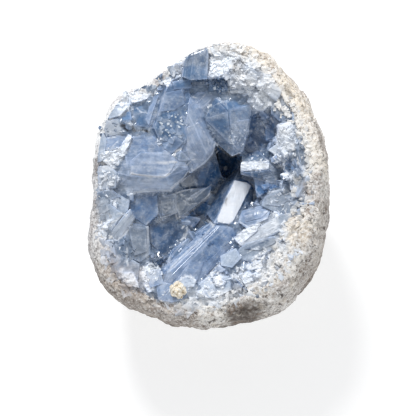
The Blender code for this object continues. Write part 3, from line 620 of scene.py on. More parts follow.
def slope_point(angle, reach):
    """A point of the crystal layer's face, from the void's floor (0) to the rim (1)."""
    edge = lip_inner(angle) - RIM_INSET
    rim = Vector((edge * math.cos(angle), edge * math.sin(angle), 0.0))
    void = seen_at(*VOID_PLACE)
    point = void.lerp(rim, reach)
    top = rim_height(angle) - RIM_SINK
    point.z = top + (void.z - top) * (1 - reach) ** SLOPE_POWER
    return point


def lining_mesh():
    """The crystal layer itself, a little too thick outside so that it can be cut."""
    spare = 1.2 * MM
    slope = [[slope_point(math.tau * turn / SEGMENTS, 1 - step / SLOPE_RINGS)
              for turn in range(SEGMENTS)] for step in range(SLOPE_RINGS)]
    outside = hollow_rings(-spare, FLOOR_DEPTH + spare)
    for corner in outside[0]:
        corner.z -= RIM_SINK
    return skin(list(reversed(slope)) + outside, first_pole=seen_at(*VOID_PLACE),
                last_pole=Vector((0.0, 0.0, -FLOOR_DEPTH - spare)))


def short_crystal(foot, direction, length, width, seed):
    """A short chisel-ended crystal, six-sided, standing on foot along direction."""
    dice = random.Random(seed)
    turn = direction.to_track_quat("Z", "Y").to_matrix().to_4x4()
    place = Matrix.Translation(foot) @ turn @ Matrix.Rotation(dice.uniform(0, math.pi), 4, "Z")
    thick = width * dice.uniform(0.45, 0.8)
    points = []
    for across, along in ((-0.5, 0.0), (-0.3, 0.5), (0.3, 0.5), (0.5, 0.0), (0.3, -0.5),
                          (-0.3, -0.5)):
        slope = length - 0.9 * abs(along) * thick
        points.append(place @ Vector((across * width, along * thick, 0.0)))
        points.append(place @ Vector((across * width * 0.9, along * thick, slope)))
    points.append(place @ Vector((-0.25 * width, 0.0, length)))
    points.append(place @ Vector((0.2 * width, 0.0, length)))
    mesh = hull(points)
    wear_edges(mesh, EDGE_WEAR)
    growth_lines(mesh, place.to_3x3() @ Vector((1, 0, 0)), 3, 0.04, dice)
    return mesh


def is_under_large_crystal(point):
    """True where a large crystal's crown covers the point, seen from the front."""
    spot = front_view(point)
    for finish, root, root_size, *corners in LARGE_CRYSTALS.values():
        flat = [Vector((x, y)) for x, y, height in corners]
        middle = sum(flat, Vector((0.0, 0.0))) / len(flat)
        flat.sort(key=lambda corner: math.atan2(*(corner - middle)))
        for first, second in zip(flat, flat[1:] + flat[:1]):
            if intersect_point_tri_2d(spot, middle, first, second):
                return True
    return False


def rim_crystals():
    dice = random.Random(11)
    for number in range(RIM_PIECES):
        angle = math.tau * (number + dice.uniform(-0.3, 0.3)) / RIM_PIECES
        reach = lip_inner(angle) - dice.uniform(0.4, 2.2) * MM
        top = rim_height(angle) + dice.uniform(*RIM_LEVEL_MM) * MM
        length = dice.uniform(5.0, 8.0) * MM
        inward = Vector((-math.cos(angle), -math.sin(angle), dice.uniform(1.6, 4.0)))
        inward.normalize()
        tip = Vector((reach * math.cos(angle), reach * math.sin(angle), top))
        width = dice.uniform(4.5, 7.5) * MM
        mesh = short_crystal(tip - inward * length, inward, length, width, number)
        finish = ("milky", "frosted", "smoky")[number % 3]
        pieces.append((mesh, finish, inward.orthogonal()))


def wall_crystals(seed, count, start, span, power, sink, rise, scatter, lengths, widths,
                  finishes, first_seed, duck):
    """Crystals up the wall, from a share (start) of the way up over a further share (span).

    Their feet sink into the layer, rise and scatter set how they lean, and lengths and widths
    are ranges in millimetres. Beneath a large crystal one ducks, or is left out for None.
    """
    dice = random.Random(seed)
    for number in range(count):
        angle = math.tau * (number * 0.618 % 1)
        reach = start + span * ((number + 0.5) / count) ** power
        foot = slope_point(angle, reach) - Vector((0.0, 0.0, sink * MM))
        lean = Vector((-math.cos(angle), -math.sin(angle), dice.uniform(*rise)))
        lean += Vector((dice.uniform(-scatter, scatter), dice.uniform(-scatter, scatter), 0.0))
        lean.normalize()
        length = dice.uniform(*lengths) * MM
        width = dice.uniform(*widths) * MM
        if is_under_large_crystal(foot + lean * length):
            if duck is None:
                continue
            foot.z -= duck
        mesh = short_crystal(foot, lean, length, width, first_seed + number)
        pieces.append((mesh, finishes[number % len(finishes)], lean.orthogonal()))


rim_crystals()
wall_crystals(23, SLOPE_PIECES, 0.16, 0.74, 0.6, 2.5, (0.5, 2.4), 0.6, (3.6, 5.8), (4.0, 7.5),
              ("clear", "smoky", "pale"), 100, DUCK)
wall_crystals(53, SMALL_FILL, 0.42, 0.56, 0.7, 1.0, (0.8, 3.0), 0.8, (3.0, 5.2), (1.6, 3.6),
              ("milky", "pale", "smoky", "frosted", "milky"), 300, None)
print(len(pieces), "blocks in the crust so far")

# %% [markdown]
# ## What fills the clefts
#
# Crystals that grew side by side have grown together, and hardly a cleft between them is deep.
# A net of rays from the front measures how high the crystals stand. Taking the highest value
# near each point and then the lowest one, which is called closing, bridges the narrow clefts
# and keeps the wide hollow. A sheet a little lower than that joins the blocks.

# %% A sheet that closes narrow clefts
NET_STEP = 2.0             # drawing steps from one ray to the next
NET_LOW = (84.0, 34.0)
NET_HIGH = (330.0, 346.0)
CLEFT_REACH = 3            # clefts up to twice this many rays wide are bridged
CLEFT_MM = 0.20            # how deep a bridged cleft stays
SHEET_MM = 1.5


def net_heights(columns, rows):
    """How high the crystals and the rim stand at each place of the net, in millimetres."""
    surface = surface_of([piece[0] for piece in pieces] + [lining_mesh()])
    heights = numpy.empty((len(rows), len(columns)))
    for row, y in enumerate(rows):
        for column, x in enumerate(columns):
            flat = seen_at(x, y, RIM_RISE / MM)
            angle = math.atan2(flat.y, flat.x)
            spot = look_at(surface, x, y)[0]
            if spot is None or flat.xy.length > lip_inner(angle):
                heights[row, column] = rim_height(angle) / MM
            else:
                heights[row, column] = spot.z / MM
    return heights


def pick_near(heights, reach, pick):
    """The highest or the lowest value within a few places of the net."""
    padded = numpy.pad(heights, reach, mode="edge")
    best = heights
    for down in range(2 * reach + 1):
        for right in range(2 * reach + 1):
            if (down - reach) ** 2 + (right - reach) ** 2 <= reach ** 2:
                part = padded[down:down + heights.shape[0], right:right + heights.shape[1]]
                best = pick(best, part)
    return best


def cleft_sheet():
    columns = numpy.arange(NET_LOW[0], NET_HIGH[0], NET_STEP)
    rows = numpy.arange(NET_LOW[1], NET_HIGH[1], NET_STEP)
    heights = net_heights(columns, rows)
    closed = pick_near(pick_near(heights, CLEFT_REACH, numpy.maximum), CLEFT_REACH,
                       numpy.minimum)
    closed = pick_near(closed, 1, numpy.minimum) - CLEFT_MM
    mesh = bmesh.new()
    layers = []
    for drop in (0.0, SHEET_MM):
        layer = []
        for y, levels in zip(rows, closed):
            layer.append([])
            for x, level in zip(columns, levels):
                rough = 0.35 * noise.noise(Vector((x, y, 0.0)) / 5.0) if level > 0 else -1.5
                layer[-1].append(mesh.verts.new(seen_at(x, y, level + rough - drop)))
        layers.append(layer)
    upper, lower = layers
    for row in range(len(rows) - 1):
        for column in range(len(columns) - 1):
            for layer in (upper, lower):
                mesh.faces.new((layer[row][column], layer[row][column + 1],
                                layer[row + 1][column + 1], layer[row + 1][column]))
    rim = ([(0, column) for column in range(len(columns))]
           + [(row, len(columns) - 1) for row in range(1, len(rows))]
           + [(len(rows) - 1, column) for column in range(len(columns) - 2, -1, -1)]
           + [(row, 0) for row in range(len(rows) - 2, 0, -1)])
    for (r0, c0), (r1, c1) in zip(rim, rim[1:] + rim[:1]):
        mesh.faces.new((upper[r0][c0], upper[r1][c1], lower[r1][c1], lower[r0][c0]))
    bmesh.ops.recalc_face_normals(mesh, faces=mesh.faces)
    return mesh


pieces.append((cleft_sheet(), "smoky", Vector((0.0, 1.0, 0.0))))
print("the sheet has", len(pieces[-1][0].faces), "faces")

# %% [markdown]
# ## Chips
#
# Every broken edge of a geode is covered with chips: pieces of crystal from half a millimetre
# to two millimetres, white where light is lost in their cracks. They are thrown at the crystals
# from the front, as a ray each, and stay where they land, thickest in the places where the
# stone is broken.

# %% Where chips land
# centre of the patch in the drawing, its radius, number of chips, their size and finish
CHIP_PATCHES = (
    ((217,85), 10, 44, (0.6,1.6), "clear"), ((222,84), 9, 20, (0.4,0.9), "glint"),
    ((173,124), 14, 30, (0.3,0.8), "glint"),
    ((173,126), 16, 26, (0.6,1.6), "sliver"), ((160,141), 4, 8, (0.6,1.2), "frosted"),
    ((238,137), 10, 24, (0.3,0.6), "glint"), ((236,132), 12, 16, (0.5,1.2), "sliver"),
    ((262,124), 9, 22, (0.4,0.9), "glint"),
    ((223,62), 15, 70, (0.8,2.0), "frosted"), ((243,80), 14, 50, (0.8,2.0), "frosted"),
    ((262,98), 11, 36, (0.7,1.8), "frosted"), ((286,138), 11, 50, (0.6,1.6), "frosted"),
    ((283,158), 10, 30, (0.6,1.4), "frosted"), ((290,176), 9, 26, (0.7,1.6), "smoky"),
    ((112,156), 11, 28, (0.8,2.0), "frosted"), ((108,178), 11, 26, (0.8,2.0), "frosted"),
    ((108,128), 9, 10, (0.6,1.2), "clear"), ((135,100), 12, 18, (0.7,1.8), "frosted"),
    # On the next line, the second patch puts dark chips in the small hole low on the left: painted
    # shade.
    ((150,272), 11, 36, (0.6,1.6), "frosted"), ((158,260), 9, 26, (0.8,1.8), "deep_shade"),
    ((215,284), 13, 36, (0.6,1.6), "frosted"), ((245,280), 13, 46, (0.8,1.8), "frosted"),
    ((187,281), 8, 16, (0.4,1.0), "glint"), ((265,262), 13, 46, (0.7,1.8), "frosted"),
    ((290,233), 12, 30, (0.7,1.8), "frosted"), ((282,205), 14, 30, (0.6,1.4), "frosted"),
    ((120,250), 15, 16, (0.7,1.8), "smoky"), ((105,225), 12, 18, (0.7,1.8), "frosted"),
    ((175,300), 14, 40, (0.7,1.6), "frosted"), ((254,165), 11, 30, (0.4,1.0), "frosted"),
    ((300,140), 10, 30, (0.7,1.6), "milky"), ((205,232), 14, 16, (0.6,1.6), "clear"),
)
# Crystals that reach out over the broken edge, given as the others are
EDGE_CRYSTALS = {
    "top_block": ("clear", (196,68,2), 0.8, (184,60,7.9), (188,55.5,7.8), (196,51.5,7.6),
        (207,48.5,7.8), (209,55,8.3), (207.5,79.5,8.7), (190,80.5,8.9), (181.5,77,8.6)),
}
# from and to which angle in degrees, number, size, how far down the shoulder, finishes
RIM_ZONES = (
    (88, 300, 100, (0.6, 1.4), 0.00, ("chalky", "frosted")),
    (112, 215, 250, (0.8, 1.8), 0.00, ("frosted", "frosted", "milky", "milky", "smoky")),
    (102, 113, 20, (0.9, 1.8), 0.00, ("frosted", "milky")),
    (62, 88, 70, (1.0, 2.2), 0.12, ("frosted", "chalky", "chalky")),
    (-60, 88, 190, (0.6, 1.6), 0.06, ("chalky",)),
    (212, 268, 120, (0.8, 2.2), 0.02, ("frosted", "chalky", "smoky")),
    (268, 330, 100, (0.7, 1.8), 0.05, ("frosted", "chalky")),
)
RIM_TILT = 0.10      # how far a plate on the rim may lean out of the surface
RIM_THICK = 0.30     # its thickness for its size
SUNK = 0.28          # share of a chip's size that is below the surface it lies on


def chip(place, size, dice, lies_on=None, thick=0.6):
    """A small lopsided tablet with the slanted corners of celestite's cleavage."""
    axis = Vector((dice.uniform(-1, 1), dice.uniform(-1, 1), 1))
    if lies_on:
        axis = lies_on + axis.cross(lies_on) * dice.uniform(-RIM_TILT, RIM_TILT)
    turn = axis.to_track_quat("Z", "Y").to_matrix()
    turn = turn @ Matrix.Rotation(dice.uniform(0, math.tau), 3, "Z")
    points = []
    for x in (-0.5, 0.5):
        for y in (-0.4, 0.4):
            for z in (-0.5 * thick, 0.5 * thick):
                corner = Vector((x + 0.25 * y, y, z))
                corner += Vector([dice.uniform(-0.12, 0.12) for axis in range(3)])
                points.append(place + turn @ corner * size)
    return hull(points)


def patch_chips(surface):
    dice = random.Random(31)
    landed = []
    for (x, y), radius, count, sizes, finish in CHIP_PATCHES:
        for number in range(count):
            away = radius * math.sqrt(dice.random())
            turn = dice.uniform(0, math.tau)
            spot, normal = look_at(surface, x + away * math.cos(turn), y + away * math.sin(turn))
            if spot is not None:
                size = dice.uniform(*sizes) * 0.8 * MM
                if finish in ("glint", "sliver"):
                    block = chip(spot, size, dice, normal, 0.3 if finish == "glint" else 0.16)
                else:
                    block = chip(spot - normal * size * SUNK, size, dice)
                landed.append((block, finish, normal.orthogonal()))
    return landed


def shoulder_point(angle, share):
    """A point of the broken edge: below 0 inside the lip, 0 to 1 down the shoulder."""
    outer, inner, rim = lip_outer(angle), lip_inner(angle), rim_height(angle)
    if share < 0:
        radius = outer + share * (outer - inner + 3.2 * MM)
        height = rim - max(0.0, inner - radius) * 0.4
    else:
        radius = outer + share * (girdle_radius(angle) - outer)
        height = rim * (1 - share ** 2.5) ** 0.4
    return Vector((radius * math.cos(angle), radius * math.sin(angle), height))


def rim_chips():
    dice = random.Random(37)
    laid = []
    for first, last, count, sizes, reach, finishes in RIM_ZONES:
        for number in range(count):
            angle = math.radians(dice.uniform(first, last))
            size = dice.uniform(*sizes) * MM
            share = dice.uniform(-1.0, reach)
            place = shoulder_point(angle, share)
            out = Vector((math.cos(angle), math.sin(angle), 0.0)) * max(0.1, share)
            out = (out + Vector((0.0, 0.0, 1.1 - max(0.0, share)))).normalized()
            place -= out * size * RIM_THICK * 0.4
            laid.append((chip(place, size, dice, out, RIM_THICK), dice.choice(finishes),
                         Vector((1.0, 0.0, 0.0))))
    return laid


chips = patch_chips(surface_of([piece[0] for piece in pieces] + [lining_mesh()])) + rim_chips()
over_edge = [(drawn_crystal(name, root, root_size, corners), finish, Vector((-1.0, 0.1, 0.0)))
             for name, (finish, root, root_size, *corners) in EDGE_CRYSTALS.items()]
print(len(chips), "chips landed")

# %% [markdown]
# ## Marks on the crystals and on the rock
#
# A person who paints a stone by hand puts down broad patches first and thin lines over them:
# cloudy zones, white broken edges, cleavage lines, dark cracks. Many are painted highlights along
# edges and on glossy faces, and painted shade in gaps, in the deep hollow and on faces turned
# from the light. Here they are drawn as short outlines and lines in the same drawing as the
# crystals, each with one tone. They are stored on the mesh's points, so they belong to the stone
# and not to the camera, and later ones cover earlier ones.

# %% Tones, patches and lines
# colour and frost of each tone
TONES = {
    # On the next line, white is frost, along many edges also a painted highlight, and the second
    # tone is a painted highlight.
    "white": ((0.84, 0.87, 0.91), 0.70), "shine": ((0.90, 0.92, 0.96), 0.10),
    "pale": ((0.42, 0.51, 0.69), 0.10), "blue": ((0.12, 0.22, 0.42), 0.05),
    # On the next line, dark is dark cracks and painted shade in creases, under crystals and on
    # faces turned from the light; void is painted shade, the dark navy where the hollow goes deep.
    "dark": ((0.035, 0.085, 0.185), 0.05), "void": ((0.045, 0.165, 0.400), 0.10),
    # The first tone on the next line is painted shade: near black for small holes between crystals.
    "hole": ((0.006, 0.010, 0.022), 0.10), "soft": ((0.17, 0.27, 0.45), 0.80),
    # On the next line, the first tone is a painted reflection, the whitish grey of a face that
    # mirrors the light, and the second is painted light, a bright blue for a face turned from the
    # lamp.
    "satin": ((0.66, 0.69, 0.74), 0.40), "bright": ((0.62, 0.76, 1.00), 0.10),
    "rose": ((0.62, 0.57, 0.56), 0.60),
    "grey": ((0.17, 0.22, 0.30), 0.15), "light_grey": ((0.47, 0.50, 0.55), 0.40),
    "umber": ((0.12, 0.10, 0.085), 0.95), "brown": ((0.34, 0.28, 0.24), 0.95),
    "cream": ((0.82, 0.71, 0.56), 0.80), "chalk": ((0.86, 0.84, 0.81), 0.90),
}
# tone, strength, softness of the edge in drawing steps, corners of the outline
PATCHES = (
    ("blue", 0.55, 4, (128,150), (133,137), (148,132), (158,140), (166,151), (150,154)),
    ("pale", 0.6, 3, (130,160), (150,152), (169,153), (180,164), (168,175), (133,174)),
    # Painted light: the lower face of the broad slab, turned down and away from the lamp, is made
    # paler.
    ("pale", 0.75, 2, (124,189), (150,184), (170,184), (173,190), (150,192), (129,195)),
    ("white", 0.7, 3, (124,150), (131,138), (128,149), (121,159), (112,160)),
    ("white", 0.8, 4, (101,152), (118,148), (121,156), (117,164), (112,171), (101,170)),
    ("light_grey", 0.7, 3, (102,122), (112,119), (120,124), (122,136), (104,138)),
    ("light_grey", 0.6, 3, (97,176), (108,173), (117,180), (115,188), (98,192)),
    # Painted shade: small near-black spots where holes open between the crystals.
    ("hole", 0.92, 1, (122,125), (125,124), (125,128), (123,128)),
    ("hole", 0.92, 1, (133,126), (135,127), (135,131), (132,130)),
    ("hole", 0.92, 1, (143,130), (146,130), (149,132), (145,131.5)),
    ("white", 0.75, 2, (119,118), (131,104), (140,99), (149,95), (146,90), (125,93)),
    ("white", 0.8, 1, (163,85), (169,78), (173,79), (168,87)),
    ("light_grey", 0.6, 2, (173,78), (172,68), (180,60), (183,62), (181,76)),
    ("grey", 0.9, 3, (184,58), (196,50), (208,47), (208,66), (184,68)),
    # Painted shade under the top block.
    ("dark", 0.85, 2, (189,81), (197,82), (208,80), (206,85), (190,86)),
    ("white", 0.75, 3, (209,52), (230,46), (238,52), (230,68), (220,77), (209,78)),
    # Painted shade under the frosted block beside the top block.
    ("dark", 0.75, 1, (209,80), (217,78), (225,79), (228,88), (224,89), (213,85)),
    ("light_grey", 0.75, 3, (229,72), (242,70), (250,76), (249,94), (230,94)),
    ("umber", 0.75, 1, (233,62), (238,58), (245,62), (242,69), (232,69)),
    ("light_grey", 0.6, 3, (243,70), (254,78), (270,84), (268,98), (254,98), (246,84)),
    ("white", 0.65, 3, (250,94), (262,94), (270,104), (268,112), (256,112), (251,103)),
    ("white", 0.55, 3, (258,60), (275,72), (285,90), (276,96), (264,82)),
    ("pale", 0.45, 4, (162,94), (184,90), (186,104), (178,110), (161,110)),
    ("pale", 0.35, 4, (188,104), (204,96), (218,93), (206,106), (202,118), (190,116)),
    ("pale", 0.55, 4, (186,126), (200,122), (212,140), (212,158), (196,168), (186,150)),
    ("dark", 0.45, 4, (206,120), (214,108), (224,110), (232,128), (232,148), (220,146)),
    ("pale", 0.35, 3, (236,118), (250,118), (249,132), (243,150), (236,152), (230,136)),
    ("white", 0.8, 2, (277,124), (293,122), (296,146), (286,158), (276,150)),
    ("grey", 0.45, 3, (290,150), (308,150), (310,164), (304,172), (292,166)),
    ("white", 0.75, 2, (283,174), (296,172), (296,179), (290,182)),
    # White frost on an edge, partly a painted highlight.
    ("white", 0.85, 1, (241,161), (262,162), (270,163), (269,168), (254,170), (241,171)),
    # The front face of the bright prism gets a painted reflection, and its two side faces get
    # painted shade.
    ("satin", 1, 0.6, *BRIGHT_FACE),
    ("dark", 0.8, 1, (215,206), (224,190), (232,181), (224,201), (213,222), (208,216)),
    ("dark", 0.75, 1, (251,187), (257,192), (262,199), (253,208), (240,210), (246,196)),
    # Painted shade: dark navy where the hollow goes deep between the crystals.
    ("void", 0.95, 1, (217,147), (222,151), (231,158), (241,155), (239,167), (231,173), (224,181),
     (220,170)),
    ("void", 0.85, 1, (251,182), (262,181), (280,187), (270,190), (262,196), (256,190)),
    ("void", 0.95, 1, (211,196), (205,210), (194,217), (182,222), (181,219), (198,208)),
    ("void", 0.72, 3, (200,172), (216,158), (220,172), (222,180), (212,192), (196,186)),
    ("grey", 0.4, 2, (178,196), (204,188), (213,186), (206,200), (186,216), (177,216)),
    ("grey", 0.55, 2, (160,192), (174,192), (178,204), (176,214), (162,218), (158,208)),
    ("blue", 0.7, 3, (131,196), (150,193), (158,200), (158,218), (145,226), (131,216)),
    # Painted shade over the dark block low in the middle, and a dark hole beside it.
    ("void", 0.45, 4, (152,226), (176,222), (184,234), (180,246), (168,258), (153,246)),
    ("dark", 0.75, 2, (150,258), (158,254), (166,260), (160,266), (151,263)),
    ("light_grey", 0.5, 3, (104,228), (122,218), (134,214), (128,232), (112,240)),
    ("light_grey", 0.15, 3, (128,226), (148,222), (149,262), (138,272), (128,250)),
    ("white", 0.55, 4, (94,200), (104,200), (108,214), (100,238), (112,262), (98,240)),
    ("pale", 0.6, 2, (168,268), (190,246), (214,224), (219,228), (200,246), (176,272)),
    ("soft", 0.95, 1.5, (160,271), (186,245), (212,220), (220,226), (195,251), (169,276)),
    ("blue", 0.4, 3, (216,226), (240,232), (232,242), (214,258), (202,262), (204,248)),
    ("pale", 0.35, 4, (160,276), (184,262), (210,262), (204,282), (164,298)),
    ("white", 0.7, 2, (140,270), (150,262), (160,270), (154,282), (140,280)),
    ("grey", 0.5, 1, (150,264), (158,267), (154,270), (151,270)),
    ("light_grey", 0.3, 2, (264,204), (268,193), (286,189), (300,196), (298,208)),
    ("white", 0.6, 3, (234,238), (250,226), (270,216), (284,224), (264,240), (240,244)),
    ("grey", 0.65, 2, (244,248), (262,240), (274,236), (282,241), (270,249), (246,256)),
    # Painted shade in small gaps between the crystals near the lower rim.
    ("dark", 0.8, 1, (231,279), (238,282), (246,290), (238,293), (229,290)),
    ("dark", 0.75, 1, (217,265), (222,270), (216,272)),
    # A painted highlight on a small chip low in the middle.
    ("shine", 0.85, 1, (214,276), (220,274), (222,284), (218,287), (212,283)),
    ("white", 0.75, 2, (241,276), (248,274), (254,280), (248,285), (241,283)),
    ("white", 0.55, 4, (188,288), (230,292), (252,290), (250,298), (215,306), (184,304)),
    ("chalk", 0.55, 4, (262,268), (276,252), (292,244), (290,262), (275,276), (258,284)),
    ("cream", 0.75, 5, (290,214), (306,214), (312,232), (302,250), (288,246), (284,230)),
    ("cream", 0.7, 5, (240,44), (262,48), (290,74), (312,106), (302,112), (276,84)),
    ("cream", 0.5, 5, (296,100), (314,112), (324,140), (330,175), (316,176), (310,140)),
    ("chalk", 0.5, 5, (300,126), (314,130), (322,176), (318,200), (304,190), (306,160)),
    ("umber", 0.8, 2, (282,84), (287,84), (294,96), (291,99), (285,93)),
    ("brown", 0.55, 4, (300,180), (310,182), (314,200), (302,196)),
    ("chalk", 0.45, 5, (234,50), (252,52), (276,76), (292,104), (280,112), (256,92), (232,84)),
    ("chalk", 0.35, 5, (252,262), (268,246), (300,214), (312,214), (300,246), (264,284)),
    ("chalk", 0.4, 4, (200,292), (240,286), (262,278), (262,292), (232,302), (202,304)),
    # Painted shade on the dark back face, deep in the hollow.
    ("dark", 0.6, 3, (250,112), (262,118), (276,122), (266,146), (248,156), (245,140)),
    # More painted light on the lower face of the broad slab.
    ("white", 0.4, 2, (124,188), (150,184), (172,183), (176,188), (150,193), (128,195)),
    ("blue", 0.3, 6, (160,86), (190,86), (208,112), (200,128), (170,112), (158,108)),
    ("blue", 0.46, 6, (170,270), (212,226), (238,234), (236,244), (206,272), (176,286)),
    # Painted light: a bright blue over the same downward face of the broad slab.
    ("bright", 0.65, 4, (122,178), (172,178), (178,186), (150,192), (126,190)),
    ("pale", 0.3, 4, (160,140), (176,138), (188,150), (174,154), (164,150)),
    ("rose", 0.45, 5, (118,262), (142,266), (150,286), (134,292), (118,280)),
    # Painted shade: the top block's face, which is turned to the lamp, is darkened.
    ("dark", 0.25, 3, (184,58), (196,50), (208,47), (208,66), (184,68)),
    ("rose", 0.5, 5, (96,236), (108,240), (118,256), (122,272), (108,268), (97,252)),
    ("brown", 0.45, 5, (110,270), (128,284), (160,302), (198,308), (196,322), (150,318), (112,290)),
    ("blue", 0.55, 3, (250,112), (276,118), (266,148), (248,152)),
    ("white", 0.6, 4, (248,88), (268,90), (272,108), (254,112)),
    # A painted highlight on the front face of the bright prism.
    ("shine", 0.6, 2, (224,206), (236,202), (232,220), (219,219)),
    ("light_grey", 0.4, 1.5, (222,200), (228,192), (232,196), (226,206)),
    # Painted shade: the left rim is darkened with grey.
    ("grey", 0.4, 3, (92,190), (104,194), (110,214), (100,222), (92,210)),
    ("grey", 0.45, 3, (262,196), (284,189), (299,197), (294,210), (266,207)),
    ("grey", 0.6, 3, (128,226), (149,226), (151,254), (140,262), (126,255)),
    ("blue", 0.55, 4, (252,108), (278,116), (277,132), (266,150), (248,158), (246,136)),
    # More painted shade on the dark back face.
    ("dark", 0.45, 4, (252,118), (264,118), (262,140), (248,150)),
    # More painted shade on the left rim.
    ("grey", 0.45, 3, (94,200), (106,198), (112,212), (104,224), (94,216)),
    # Painted shade and the rock's own brown: the next six marks darken the rock along its lower and
    # side outline, where its surface turns away from the light.
    ("umber", 1, 5, (226,310), (246,303), (264,305), (254,324), (232,328)),
    ("brown", 0.35, 5, (110,262), (122,276), (150,297), (150,306), (118,292)),
    ("brown", 0.55, 4, (92,196), (97,196), (98,230), (93,230)),
    ("brown", 0.55, 8, (318,200), (334,190), (326,260), (300,296), (290,282), (312,250)),
    ("brown", 0.6, 6, (90,262), (112,262), (124,280), (150,300), (200,312), (196,334), (110,310)),
    ("umber", 0.45, 6, (222,304), (262,296), (276,306), (256,326), (228,330)),
    ("chalk", 0.45, 5, (150,302), (196,304), (214,312), (190,320), (160,314)),
    ("cream", 0.45, 3, (250,284), (262,280), (266,292), (254,296)),
    ("umber", 0.6, 3, (93,158), (98,158), (99,174), (93,176)),
    ("umber", 0.14, 5, (105,255), (124,254), (127,272), (108,274)),
    ("white", 0.35, 5, (252,90), (272,92), (270,110), (252,108)),
    ("pale", 0.4, 5, (140,176), (162,176), (160,192), (142,192)),
    ("cream", 0.3, 5, (291,221), (309,222), (307,240), (292,239)),
)
